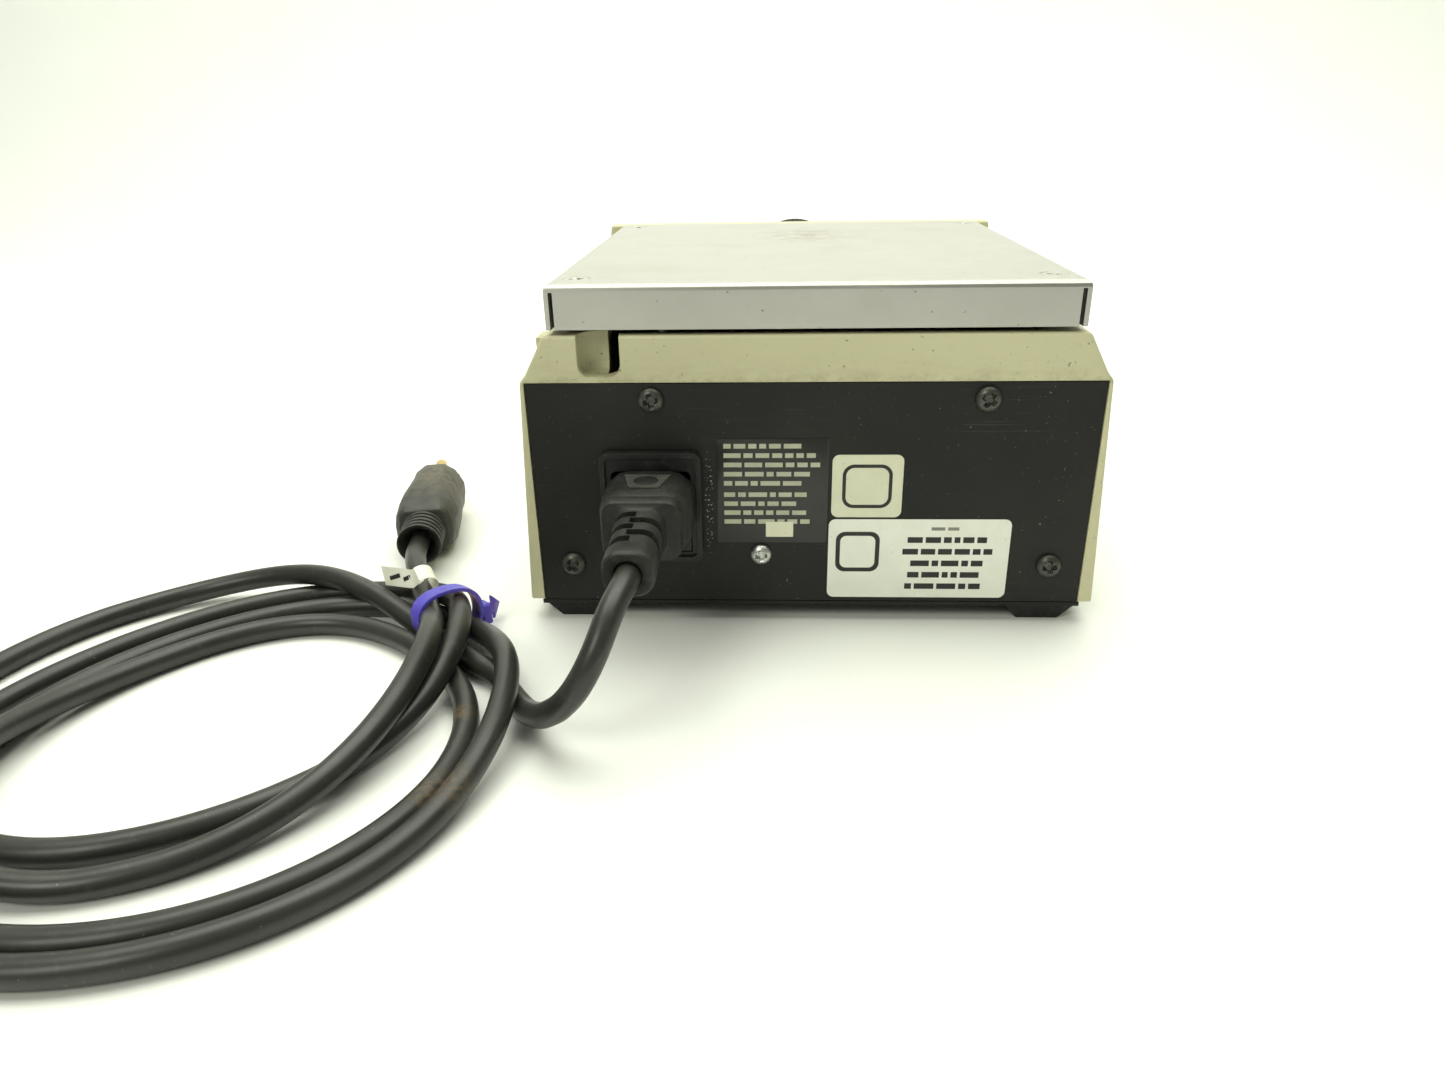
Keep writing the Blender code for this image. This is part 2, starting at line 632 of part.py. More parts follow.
def build_inlet():
    bezel = rounded_rectangle((INLET_X, BEZEL_Z), BEZEL_WIDTH, BEZEL_HEIGHT, 2.6, 4)
    inlet = make_object("inlet_body", prism(bezel, y_at(0.0), y_at(-BEZEL_FACE), "Y"), "black_plastic")
    behind = box((INLET_X - INLET_BODY_WIDTH / 2, y_at(INLET_BODY_DEPTH),
                  BEZEL_Z - INLET_BODY_HEIGHT / 2),
                 (INLET_X + INLET_BODY_WIDTH / 2, y_at(-1.0), BEZEL_Z + INLET_BODY_HEIGHT / 2))
    combine(inlet, make_tool("inlet_rear", behind), "UNION")
    step = rounded_rectangle((INLET_X, BEZEL_Z), BEZEL_WIDTH - 3.2, BEZEL_HEIGHT - 3.2, 1.8, 4)
    combine(inlet, make_tool("bezel_step", prism(step, y_at(-BEZEL_FACE + 0.9), y_at(-6.0), "Y")))
    socket = rounded_rectangle((INLET_X, SOCKET_Z), SOCKET_WIDTH, SOCKET_HEIGHT, 1.6, 2)
    combine(inlet, make_tool("socket", prism(socket, y_at(SOCKET_DEPTH), y_at(-6.0), "Y")))
    pocket = box((INLET_X - DRAWER_WIDTH / 2 - GAP, y_at(24.0), DRAWER_Z - DRAWER_HEIGHT / 2 - GAP),
                 (INLET_X + DRAWER_WIDTH / 2 + GAP, y_at(-6.0), DRAWER_Z + DRAWER_HEIGHT / 2 + GAP))
    combine(inlet, make_tool("drawer_pocket", pocket))
    slots = bmesh.new()
    for name, x, z in inlet_pin_points():
        add_box(slots, (x - 1.0 - GAP, y_at(INLET_BODY_DEPTH + 4.0), z - 2.0 - GAP),
                (x + 1.0 + GAP, y_at(SOCKET_DEPTH - 3.0), z + 2.0 + GAP))
        pin = box((x - 1.0, y_at(INLET_BODY_DEPTH + 7.0), z - 2.0), (x + 1.0, y_at(1.5), z + 2.0))
        make_object(f"inlet_pin_{name}", pin, "zinc")
    combine(inlet, make_tool("pin_slots", slots))


def build_fuse_drawer():
    origin = (INLET_X, y_at(0.0), DRAWER_Z)
    face = 1.9
    body = box((INLET_X - DRAWER_WIDTH / 2, y_at(22.0), DRAWER_Z - DRAWER_HEIGHT / 2),
               (INLET_X + DRAWER_WIDTH / 2, y_at(-face), DRAWER_Z + DRAWER_HEIGHT / 2))
    drawer = make_object("fuse_drawer", body, "black_plastic", origin)
    tray_floor = DRAWER_Z - DRAWER_HEIGHT / 2 + 0.9
    tray = box((INLET_X - 10.8, y_at(13.4), tray_floor),
               (INLET_X + 10.8, y_at(6.6), DRAWER_Z + 6.0))
    combine(drawer, make_tool("fuse_tray", tray))
    grip = box((INLET_X - 4.0, y_at(-face + 1.0), DRAWER_Z + 1.2),
               (INLET_X + 4.0, y_at(-face - 3.0), DRAWER_Z + 6.0))
    combine(drawer, make_tool("drawer_grip", grip))
    fuse_z = tray_floor + GAP + FUSE_RADIUS
    fuse = cylinder((y_at(10.0), fuse_z), FUSE_RADIUS, INLET_X - FUSE_LENGTH / 2,
                    INLET_X + FUSE_LENGTH / 2, "X", 16)
    make_object("fuse", fuse, "fuse_glass", origin)


# ---------------------------------------------------------------- controls


def build_control_panel():
    plate = on_slope(box((-CONTROL_HALF_X, -CONTROL_HALF_Y, -CONTROL_SHEET),
                         (CONTROL_HALF_X, CONTROL_HALF_Y, 0.0)))
    panel = make_object("control_panel", plate, "panel_overlay")
    cuts = bmesh.new()
    add_turned(cuts, [(4.5, -5.0), (4.5, 5.0)], (KNOB_X, KNOB_Y), "Z", 20)
    add_turned(cuts, [(3.5, -5.0), (3.5, 5.0)], (LAMP_X, LAMP_Y), "Z", 16)
    add_box(cuts, (SWITCH_X - 6.5, SWITCH_Y - 9.8, -5.0), (SWITCH_X + 6.5, SWITCH_Y + 9.8, 5.0))
    combine(panel, make_tool("control_cutouts", on_slope(cuts)))


def build_speed_control():
    axis = slope_point(KNOB_X, KNOB_Y, 0.0)
    pot = on_slope(turned([(8.5, -15.0), (8.5, -1.8), (4.2, -1.8), (4.2, 1.6)],
                          (KNOB_X, KNOB_Y), "Z", 24))
    pot = make_object("potentiometer", pot, "zinc")
    bore = on_slope(cylinder((KNOB_X, KNOB_Y), 3.3, -10.0, 4.0, "Z", 16))
    combine(pot, make_tool("potentiometer_bore", bore))
    shaft = on_slope(cylinder((KNOB_X, KNOB_Y), 3.0, -9.5, 12.0, "Z", 16))
    make_object("potentiometer_shaft", shaft, "brass", axis)
    profile = [
        (KNOB_RADIUS, 0.6), (KNOB_RADIUS, 2.6), (KNOB_RADIUS - 1.0, 3.4),
        (KNOB_RADIUS - 1.3, KNOB_HEIGHT - 0.9), (KNOB_RADIUS - 2.2, KNOB_HEIGHT),
    ]
    knob = on_slope(turned(profile, (KNOB_X, KNOB_Y), "Z", 36))
    knob = make_object("speed_knob", knob, "black_plastic", axis)
    hollow = turned([(7.0, -1.0), (7.0, 4.0), (3.3, 4.0), (3.3, 12.6)], (KNOB_X, KNOB_Y), "Z", 20)
    combine(knob, make_tool("knob_bore", on_slope(hollow)))


def build_power_switch():
    frame = bmesh.new()
    add_box(frame, (SWITCH_X - 7.6, SWITCH_Y - 10.9, GAP), (SWITCH_X + 7.6, SWITCH_Y + 10.9, 1.9))
    frame = make_object("switch_frame", on_slope(frame), "black_plastic")
    body = box((SWITCH_X - 6.2, SWITCH_Y - 9.5, -17.0), (SWITCH_X + 6.2, SWITCH_Y + 9.5, 1.0))
    combine(frame, make_tool("switch_body", on_slope(body)), "UNION")
    pocket = box((SWITCH_X - 4.9, SWITCH_Y - 8.4, -10.0), (SWITCH_X + 4.9, SWITCH_Y + 8.4, 5.0))
    combine(frame, make_tool("switch_pocket", on_slope(pocket)))
    outline = [(-7.2, -3.5), (0.0, -7.5), (7.2, -3.5), (7.2, 3.6), (3.6, 2.3), (0.0, 1.9),
               (-3.6, 2.3), (-7.2, 3.6)]
    rocker = prism(outline, SWITCH_X - 4.5, SWITCH_X + 4.5, "X")
    pivot = Vector((0.0, 0.0, -2.0))
    tilt = Matrix.Translation(pivot) @ Matrix.Rotation(-ROCKER_TILT, 4, "X") @ Matrix.Translation(-pivot)
    bmesh.ops.transform(rocker, matrix=tilt, verts=rocker.verts)
    bmesh.ops.translate(rocker, verts=rocker.verts, vec=(0.0, SWITCH_Y, 0.0))
    axis = slope_point(SWITCH_X, SWITCH_Y, -2.0)
    make_object("switch_rocker", on_slope(rocker), "black_plastic", axis)


def build_lamp():
    profile = [(3.2, -11.0), (3.2, GAP), (5.0, GAP), (5.0, 1.4), (4.0, 1.6), (3.4, 3.3), (1.8, 4.4)]
    make_object("power_lamp", on_slope(turned(profile, (LAMP_X, LAMP_Y), "Z", 20)), "lamp_lens")


def build_electronics():
    """Speed-control board on four pillars under the console, with its large parts."""
    low, top, back, front = 22.0, 23.6, 180.0, 232.0
    plate = box((-55.0, y_at(front), low), (55.0, y_at(back), top))
    board = make_object("control_board", plate, "board")
    pillars = bmesh.new()
    for x in (-50.0, 50.0):
        for depth in (back + 5.0, front - 5.0):
            add_turned(pillars, [(3.0, BASE_TOP + GAP), (3.0, low + 0.8)], (x, y_at(depth)), "Z", 12)
    combine(board, make_tool("board_pillars", pillars), "UNION")
    rest = top + GAP
    fins = [(-46.0, rest), (-14.0, rest)]
    height, pitch, count = 18.0, 4.0, 8
    for i in reversed(range(count)):
        left = -46.0 + i * pitch
        fins += [(left + 1.6, rest + height), (left, rest + height)]
        if i:
            fins += [(left, rest + 3.0), (left - 2.4, rest + 3.0)]
    fins[2:2] = [(-14.0, rest + 3.0), (-16.4, rest + 3.0)]
    sink = prism(fins, y_at(206.0), y_at(184.0), "Y")
    make_object("board_heat_sink", sink, "aluminium")
    capacitor = turned([(8.6, rest), (9.0, rest + 1.0), (9.0, rest + 24.0), (8.2, rest + 25.0)],
                       (8.0, y_at(196.0)), "Z", 20)
    make_object("board_capacitor", capacitor, "panel_overlay")
    transformer = box((24.0, y_at(220.0), rest), (48.0, y_at(192.0), rest + 22.0))
    transformer = make_object("board_transformer", transformer, "steel")
    bevel(transformer, 1.0, 1)


# ---------------------------------------------------------------- mains lead


def build_connector():
    """Moulded connector: nose in the socket, grip, collar and a straight strain relief."""
    sections = [
        (SOCKET_DEPTH - 0.8, 24.2, 16.2, 1.4),
        (-BEZEL_FACE - GAP, 24.2, 16.2, 1.4),
        (-BEZEL_FACE - GAP, 27.4, 19.4, 2.6),
        (-21.5, 27.2, 19.2, 2.6),
        (-24.0, 23.6, 18.6, 3.6),
        (-28.6, 22.6, 17.8, 3.6),
        (-29.2, 16.0, 15.6, 4.6),
        (-48.0, 15.4, 15.0, 5.6),
        (-52.0, 16.6, 16.2, 6.0),
        (CONNECTOR_END, 15.0, 14.6, 6.0),
    ]
    rings = []
    for depth, width, height, radius in sections:
        outline = rounded_rectangle((INLET_X, SOCKET_Z - 0.3), width, height, radius, 3)
        rings.append([(x, y_at(depth), z) for x, z in outline])
    origin = (INLET_X, y_at(0.0), SOCKET_Z)
    connector = make_object("mains_connector", loft(rings), "cord_jacket", origin)
    slots = bmesh.new()
    for name, x, z in inlet_pin_points():
        add_box(slots, (x - 1.4, y_at(SOCKET_DEPTH + 3.0), z - 2.4), (x + 1.4, y_at(-1.0), z + 2.4))
    combine(connector, make_tool("connector_slots", slots))


def smooth_points(route, per_span):
    """Points on a Catmull-Rom curve through a route."""
    points = [Vector(p) for p in route]
    curve = []
    for i in range(len(points) - 1):
        before, start = points[max(i - 1, 0)], points[i]
        end, after = points[i + 1], points[min(i + 2, len(points) - 1)]
        for k in range(per_span):
            t = k / per_span
            curve.append(0.5 * (
                2 * start + (end - before) * t
                + (2 * before - 5 * start + 4 * end - after) * t * t
                + (3 * start - before - 3 * end + after) * t * t * t
            ))
    curve.append(points[-1])
    return curve


def make_tube(name, points, finish):
    """A cord of round section along points given as (x, y, z)."""
    curve = bpy.data.curves.new(name, "CURVE")
    curve.dimensions = "3D"
    curve.bevel_depth = CORD_RADIUS * MM
    curve.bevel_resolution = 3
    curve.use_fill_caps = True
    spline = curve.splines.new("POLY")
    spline.points.add(len(points) - 1)
    for target, point in zip(spline.points, points):
        target.co = (*(Vector(point) * MM), 1.0)
    tube = bpy.data.objects.new(name, curve)
    curve.materials.append(material(finish))
    bpy.context.scene.collection.objects.link(tube)


def build_lead():
    route = [(x, y_at(depth), z) for x, depth, z in LEAD_ROUTE]
    make_tube("lead_tube", smooth_points(route, 2), "cord_jacket")


def build_coil():
    centre = (COIL_X, y_at(COIL_DEPTH))
    chamfer = 6.0
    profile = [
        (COIL_INNER, COIL_BOTTOM + chamfer), (COIL_INNER + chamfer, COIL_BOTTOM),
        (COIL_OUTER - chamfer, COIL_BOTTOM), (COIL_OUTER, COIL_BOTTOM + chamfer),
        (COIL_OUTER, COIL_TOP - chamfer), (COIL_OUTER - chamfer, COIL_TOP),
        (COIL_INNER + chamfer, COIL_TOP), (COIL_INNER, COIL_TOP - chamfer),
    ]
    make_object("cord_coil", turned_ring(profile, centre, 48), "cord_jacket")

    # The tie is a closed band round the coil's section, built on +X and then swung into place
    inner, outer = bmesh.new(), bmesh.new()
    middle = ((COIL_INNER + COIL_OUTER) / 2, (COIL_BOTTOM + COIL_TOP) / 2)
    width, height = COIL_OUTER - COIL_INNER, COIL_TOP - COIL_BOTTOM
    slack = GAP + 0.2
    add_prism(inner, rounded_rectangle(middle, width + 2 * slack, height + 2 * slack, 2.0, 2),
              -TIE_WIDTH, TIE_WIDTH, "Y")
    grown_width = width + 2 * (slack + TIE_THICKNESS)
    grown_height = height + 2 * (slack + TIE_THICKNESS)
    add_prism(outer, rounded_rectangle(middle, grown_width, grown_height, 3.0, 2),
              -TIE_WIDTH / 2, TIE_WIDTH / 2, "Y")
    swing = Matrix.Translation((*centre, 0.0)) @ Matrix.Rotation(TIE_ANGLE, 4, "Z")
    for band in (inner, outer):
        bmesh.ops.transform(band, matrix=swing, verts=band.verts)
    tie = make_object("cord_tie", outer, "tie_plastic")
    combine(tie, make_tool("cord_tie_inside", inner))


def plug_frame():
    """Local frame of the mains plug: z runs from its strain relief to its blades."""
    forward = Vector((math.cos(PLUG_HEADING), math.sin(PLUG_HEADING), 0.0))
    up = Vector((0.0, 0.0, 1.0))
    across = up.cross(forward)
    turn = Matrix((across, up, forward)).transposed().to_4x4()
    return Matrix.Translation((PLUG_X, y_at(PLUG_DEPTH), PLUG_Z)) @ turn


def in_plug(bm):
    bmesh.ops.transform(bm, matrix=plug_frame(), verts=bm.verts)
    return bm


def build_plug():
    sections = [
        (0.0, 15.6, 15.6, 7.7), (13.0, 15.2, 15.2, 7.5), (16.0, 22.0, 20.0, 5.0),
        (24.0, 26.0, 23.0, 5.0), (42.0, 26.6, 23.6, 4.0), (56.0, 21.0, 21.0, 4.0),
        (61.0, 19.0, 20.0, 4.0),
    ]
    rings = [
        [(x, y, level) for x, y in rounded_rectangle((0.0, 0.0), width, height, radius, 3)]
        for level, width, height, radius in sections
    ]
    plug = make_object("plug_body", in_plug(loft(rings)), "cord_jacket")
    holes = bmesh.new()
    face = sections[-1][0]
    root, tip, past = face - 8.6, face + BLADE_LENGTH, face + 9.0
    for i, side in enumerate((-1, 1)):
        left, right = side * BLADE_X - BLADE_HALF, side * BLADE_X + BLADE_HALF
        add_box(holes, (left - GAP, -BLADE_WIDTH - GAP, root - GAP), (right + GAP, GAP, past))
        blade = box((left, -BLADE_WIDTH, root), (right, 0.0, tip))
        make_object(f"plug_blade_{i + 1}", in_plug(blade), "brass")
    earth_at = (0.0, EARTH_PIN_Y)
    hole_radius = EARTH_PIN_RADIUS + GAP
    add_turned(holes, [(hole_radius, root - GAP), (hole_radius, past)], earth_at, "Z", 14)
    combine(plug, make_tool("plug_holes", in_plug(holes)))
    earth = [(EARTH_PIN_RADIUS, root), (EARTH_PIN_RADIUS, tip - 1.0), (EARTH_PIN_RADIUS - 1.0, tip)]
    make_object("plug_ground_pin", in_plug(turned(earth, earth_at, "Z", 14)), "brass")
    ends = [plug_frame() @ Vector((0.0, 0.0, level)) for level in (-5.6, -3.0, -GAP)]
    make_tube("tail_tube", ends, "cord_jacket")


def main():
    clear_scene()
    build_housing()
    build_rear_panel()
    build_base()
    build_rear_screws()
    build_drive_frame()
    build_motor()
    build_drive_crank()
    build_idlers()
    build_platform()
    build_inlet()
    build_fuse_drawer()
    build_control_panel()
    build_speed_control()
    build_power_switch()
    build_lamp()
    build_electronics()
    build_connector()
    build_lead()
    build_coil()
    build_plug()


main()
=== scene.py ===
"""Looks of the vortex mixer: its mains lead, plug, labels, fine parts and every material.

Lengths are millimetres in the part's frame (+Y to the rear, +Z up) and become metres when an
object is made. "Depth" is the distance forward of the rear face of the case.
"""
import math
import random

import bmesh
import bpy
import numpy as np
from mathutils import Matrix, Vector


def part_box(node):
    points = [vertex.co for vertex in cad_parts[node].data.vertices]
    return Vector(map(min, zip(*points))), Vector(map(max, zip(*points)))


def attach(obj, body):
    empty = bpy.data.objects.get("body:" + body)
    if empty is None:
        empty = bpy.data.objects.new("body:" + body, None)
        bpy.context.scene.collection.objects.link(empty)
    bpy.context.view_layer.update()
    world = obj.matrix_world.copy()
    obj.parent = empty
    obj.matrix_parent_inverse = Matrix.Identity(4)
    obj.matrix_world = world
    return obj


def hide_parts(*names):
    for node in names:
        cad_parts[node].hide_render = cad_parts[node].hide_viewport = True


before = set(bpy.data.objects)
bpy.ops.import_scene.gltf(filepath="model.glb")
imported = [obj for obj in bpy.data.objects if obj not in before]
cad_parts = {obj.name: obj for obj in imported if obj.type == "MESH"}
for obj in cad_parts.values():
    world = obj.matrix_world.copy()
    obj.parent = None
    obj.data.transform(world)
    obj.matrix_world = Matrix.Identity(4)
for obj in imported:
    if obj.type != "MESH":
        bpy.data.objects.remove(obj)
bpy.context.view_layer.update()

MM = 0.001
REAR_Y = 118.55


def y_at(depth):
    return REAR_Y - depth


def node_box(name):
    """Lowest and highest corner of a CAD node, in millimetres."""
    low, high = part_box(name)
    return Vector(low) / MM, Vector(high) / MM


# --- camera

CAMERA_PLACE = Vector((12.85, 401.3, 153.79))
CAMERA_AIM = Vector((0.04817, -0.91305, -0.40498))
CAMERA_ROLL = math.radians(-1.05)
CAMERA_LENS, SENSOR_WIDTH = 23.93, 36
NEAREST = 0.01  # metres; nothing closer to the camera is drawn


def build_camera():
    camera = add_object("camera", bpy.data.cameras.new("camera"))
    camera.data.lens = CAMERA_LENS
    camera.data.sensor_width = SENSOR_WIDTH
    camera.data.clip_start = NEAREST
    turn = CAMERA_AIM.to_track_quat("-Z", "Y").to_matrix().to_4x4()
    roll = Matrix.Rotation(CAMERA_ROLL, 4, "Z")
    camera.matrix_world = Matrix.Translation(CAMERA_PLACE * MM) @ turn @ roll
    bpy.context.scene.camera = camera


# --- materials

SURFACES = {}  # finished materials by name


class Surface:
    """A procedural material, built up in layers over one Principled shader."""

    def __init__(self, name, colour, roughness, metallic=0, rounding=0):
        self.name = name
        self.made = bpy.data.materials.new(name)
        self.made.use_nodes = True
        self.nodes = self.made.node_tree.nodes
        self.links = self.made.node_tree.links
        self.shader = self.nodes["Principled BSDF"]
        self.shader.inputs["Metallic"].default_value = metallic
        self.colour = (*colour, 1)
        self.roughness = roughness
        self.normal = None
        self.place = self.nodes.new("ShaderNodeTexCoord").outputs["Object"]
        if rounding:
            bevel = self.add("Bevel", {"Radius": rounding * MM})
            self.normal = bevel.outputs["Normal"]

    def add(self, kind, inputs, **settings):
        node = self.nodes.new("ShaderNode" + kind)
        for key, value in settings.items():
            setattr(node, key, value)
        for key, value in inputs.items():
            self.feed(node.inputs[key], value)
        return node

    def feed(self, socket, value):
        if isinstance(value, bpy.types.NodeSocket):
            self.links.new(value, socket)
        else:
            socket.default_value = value

    def noise(self, size, detail=3, rough=0.5):
        """Cloudy noise whose features are about the given size, one number or three."""
        sizes = size if isinstance(size, tuple) else (size,) * 3
        scale = self.add("Mapping", {"Vector": self.place, "Scale": [1 / (s * MM) for s in sizes]})
        inputs = {"Vector": scale.outputs["Vector"], "Scale": 1, "Detail": detail, "Roughness": rough}
        return self.add("TexNoise", inputs).outputs["Fac"]

    def cells(self, size):
        """Distance to scattered points about the given size apart."""
        inputs = {"Vector": self.place, "Scale": 1 / (size * MM)}
        return self.add("TexVoronoi", inputs).outputs["Distance"]

    def between(self, value, low, high):
        """A mask that rises from 0 to 1 as the value goes from low to high."""
        inputs = {"Value": value, "From Min": low, "From Max": high}
        return self.add("MapRange", inputs).outputs["Result"]

    def clouds(self, low, high, size, *detail):
        """A mask of cloudy patches, where noise of about the given size goes from low to high."""
        return self.between(self.noise(size, *detail), low, high)

    def times(self, first, second):
        return self.add("Math", {0: first, 1: second}, operation="MULTIPLY").outputs[0]

    def near(self, point, inner, outer, stretch=(1, 1, 1)):
        """A mask that is 1 within the inner distance of a point and 0 past the outer one."""
        moved = self.add("Mapping", {"Vector": self.place,
                                     "Location": [-p * MM / s for p, s in zip(point, stretch)],
                                     "Scale": [1 / s for s in stretch]}, vector_type="POINT")
        length = self.add("VectorMath", {0: moved.outputs["Vector"]}, operation="LENGTH")
        return self.between(length.outputs["Value"], outer * MM, inner * MM)

    def along(self, axis, start, end):
        """A mask that goes from 0 to 1 between two levels on an axis."""
        split = self.add("SeparateXYZ", {"Vector": self.place})
        return self.between(split.outputs[axis], start * MM, end * MM)

    def edges(self, radius, low=0.02, high=0.25):
        """A mask of sharp edges, from how far a bevelled normal leans from the true one."""
        bevel = self.add("Bevel", {"Radius": radius * MM}, samples=6)
        true = self.add("NewGeometry", {}).outputs["Normal"]
        dot = self.add("VectorMath", {0: bevel.outputs["Normal"], 1: true},
                       operation="DOT_PRODUCT").outputs["Value"]
        return self.between(dot, 1 - low, 1 - high)

    def mask(self, given, strength=1):
        """A mask from a socket, or from the numbers that clouds takes."""
        if isinstance(given, tuple):
            given = self.clouds(*given)
        return given if strength == 1 else self.times(given, strength)

    def mixed(self, mask, kind, below, above, inputs, output):
        """One value laid over another by a mask."""
        mix = self.add("Mix", {"Factor": mask}, data_type=kind)
        for index, value in zip(inputs, (below, above)):
            self.feed(mix.inputs[index], value)
        return mix.outputs[output]

    def tint(self, mask, colour, strength=1):
        mask = self.mask(mask, strength)
        self.colour = self.mixed(mask, "RGBA", self.colour, (*colour, 1), (6, 7), 2)

    def gloss(self, mask, roughness):
        self.roughness = self.mixed(self.mask(mask), "FLOAT", self.roughness, roughness, (2, 3), 0)

    def relief(self, height, depth, strength=1):
        """Bump whose full range of height is the given depth."""
        inputs = {"Height": height, "Distance": depth * MM, "Strength": strength}
        if self.normal:
            inputs["Normal"] = self.normal
        self.normal = self.add("Bump", inputs).outputs["Normal"]

    def finish(self, **values):
        self.feed(self.shader.inputs["Base Color"], self.colour)
        self.feed(self.shader.inputs["Roughness"], self.roughness)
        if self.normal:
            self.feed(self.shader.inputs["Normal"], self.normal)
        for key, value in values.items():
            self.shader.inputs[key].default_value = value
        SURFACES[self.name] = self.made


# Walls that the inside of the case lies between, as (axis, level outside, level inside); between them the
# case is painted near black as painted shade in the well under the platform
CASE_INSIDE = (("Y", 114.2, 113.6), ("Z", 93.4, 92.8), ("X", 62.1, 61.9), ("X", -69.1, -68.9),
               ("Y", -62, -60))


def case_material():
    """Putty-coloured moulding with a fine pebble, grime along the cover and rubbed edges, and near black
    painted shade in the well under the platform.
    """
    s = Surface("case_putty", (0.6, 0.575, 0.375), 0.5, rounding=0.5)
    s.tint((0.35, 0.7, 55, 4), (0.54, 0.515, 0.33), 0.6)
    s.tint((0.55, 0.75, 4, 5, 0.65), (0.5, 0.475, 0.31), 0.3)
    rear_edge = s.times(s.along("Y", 108, 112), s.along("Z", 79, 80))
    grime = s.times(s.along("Z", 90, 80.5), s.clouds(0.42, 0.68, (9, 9, 2.5), 5, 0.7))
    grime = s.times(grime, rear_edge)
    s.tint(grime, (0.3, 0.27, 0.17), 0.3)
    s.tint((0.7, 0.76, 1.4, 2), (0.12, 0.11, 0.07), 0.7)
    line = s.times(s.along("Z", 84.5, 82), s.clouds(0.46, 0.66, 3, 5, 0.7))
    s.tint(s.times(line, rear_edge), (0.27, 0.24, 0.14), 0.35)
    # The inside of the case is painted near black: painted shade in the well that the platform shades.
    well_shade = s.along(*CASE_INSIDE[0])
    for wall in CASE_INSIDE[1:]:
        well_shade = s.times(well_shade, s.along(*wall))
    s.tint(well_shade, (0.012, 0.012, 0.01), 0.97)
    s.gloss((0.4, 0.7, 18, 4), 0.62)
    s.relief(s.noise(0.7, 2), 0.05, 0.6)
    s.relief(s.noise(12, 2), 0.12, 0.25)
    s.finish()


def black_paint_material():
    """Satin black paint on sheet steel, dusty and lightly scuffed."""
    s = Surface("black_panel_paint", (0.0095, 0.0095, 0.0085), 0.42, rounding=0.3)
    s.tint((0.4, 0.7, 40, 4), (0.016, 0.0155, 0.013), 0.8)
    dust = s.clouds(0.73, 0.78, 0.9, 2)
    s.tint(dust, (0.16, 0.155, 0.13), 0.8)
    scuff = s.times(s.clouds(0.6, 0.75, (26, 5, 0.5), 3), s.clouds(0.5, 0.6, 30))
    s.tint(scuff, (0.05, 0.05, 0.045), 0.5)
    chips = s.near((31.9, y_at(0.3), 41), 12, 19, (0.085, 1, 1))
    s.tint(s.times(chips, s.clouds(0.6, 0.64, 0.8, 3)), (0.42, 0.41, 0.34), 0.85)
    s.gloss((0.35, 0.7, 22, 4), 0.52)
    s.relief(s.noise(0.5, 2), 0.02, 0.5)
    s.finish(**{"Specular IOR Level": 0.28})


def brushed_material(name, stained=True):
    """Brushed stainless sheet, with the grain running along X."""
    s = Surface(name, (0.54, 0.53, 0.5), 0.36, 1, rounding=0.25)
    lines = s.noise((60, 0.16, 60), 4, 0.7)
    s.tint(s.between(lines, 0.35, 0.68), (0.43, 0.42, 0.39), 0.6)
    s.gloss((0.35, 0.7, (90, 0.4, 90), 3), 0.44)
    if stained:
        s.tint((0.55, 0.75, 34, 5, 0.6), (0.42, 0.4, 0.33), 0.45)
        s.gloss((0.5, 0.75, 28, 4), 0.5)
        s.tint((0.73, 0.77, 2, 2), (0.1, 0.08, 0.05), 0.8)
    s.relief(lines, 0.012, 0.5)
    return s


def platform_material():
    """Brushed stainless with a brown smudge ahead of the plate's middle."""
    s = brushed_material("platform_stainless")
    low, high = node_box("platform_plate")
    middle = (low + high) / 2
    smudge = s.near((middle.x - 3, middle.y - 36, middle.z), 3, 26, (1, 1.2, 1))
    smudge = s.times(smudge, s.clouds(0.4, 0.62, 7, 5, 0.7))
    s.tint(smudge, (0.26, 0.2, 0.12), 0.55)
    s.gloss(smudge, 0.6)
    s.finish()


def plain_metal(name, colour, roughness, size):
    s = Surface(name, colour, roughness, 1, rounding=0.2)
    s.tint((0.4, 0.7, size, 4, 0.6), tuple(c * 0.7 for c in colour), 0.7)
    s.gloss((0.4, 0.7, size * 0.4, 3), min(roughness + 0.2, 0.9))
    s.relief(s.noise(0.4, 2), 0.01, 0.6)
    s.finish()


def black_screw_material():
    s = Surface("black_oxide", (0.075, 0.075, 0.067), 0.3, 0.55, rounding=0.12)
    # Lighter rims on the head's edges: partly wear, partly a painted highlight on the chamfer.
    s.tint(s.edges(0.25, 0.02, 0.14), (0.3, 0.3, 0.27), 0.5)
    s.tint((0.5, 0.7, 1.2, 4), (0.055, 0.053, 0.046), 0.5)
    s.gloss((0.4, 0.7, 0.8, 3), 0.42)
    s.finish()


def moulded_material(name, colour, roughness, dust, grain=0.35):
    """Black moulded plastic or rubber, with a fine grain and dust that has settled in it."""
    s = Surface(name, colour, roughness, rounding=0.3)
    lighter = tuple(c * 2 + 0.012 for c in colour)
    s.tint((0.4, 0.7, 14, 4), lighter, 0.5)
    s.tint((0.52, 0.75, 2.2, 5, 0.7), tuple(c * 3 + 0.03 for c in colour), dust)
    s.tint(s.edges(0.5), tuple(c * 2.5 + 0.03 for c in colour), 0.5)
    s.gloss((0.35, 0.7, 7, 4), min(roughness + 0.15, 0.95))
    s.relief(s.noise(grain, 2), 0.03, 0.6)
    s.finish(**{"Specular IOR Level": 0.35})


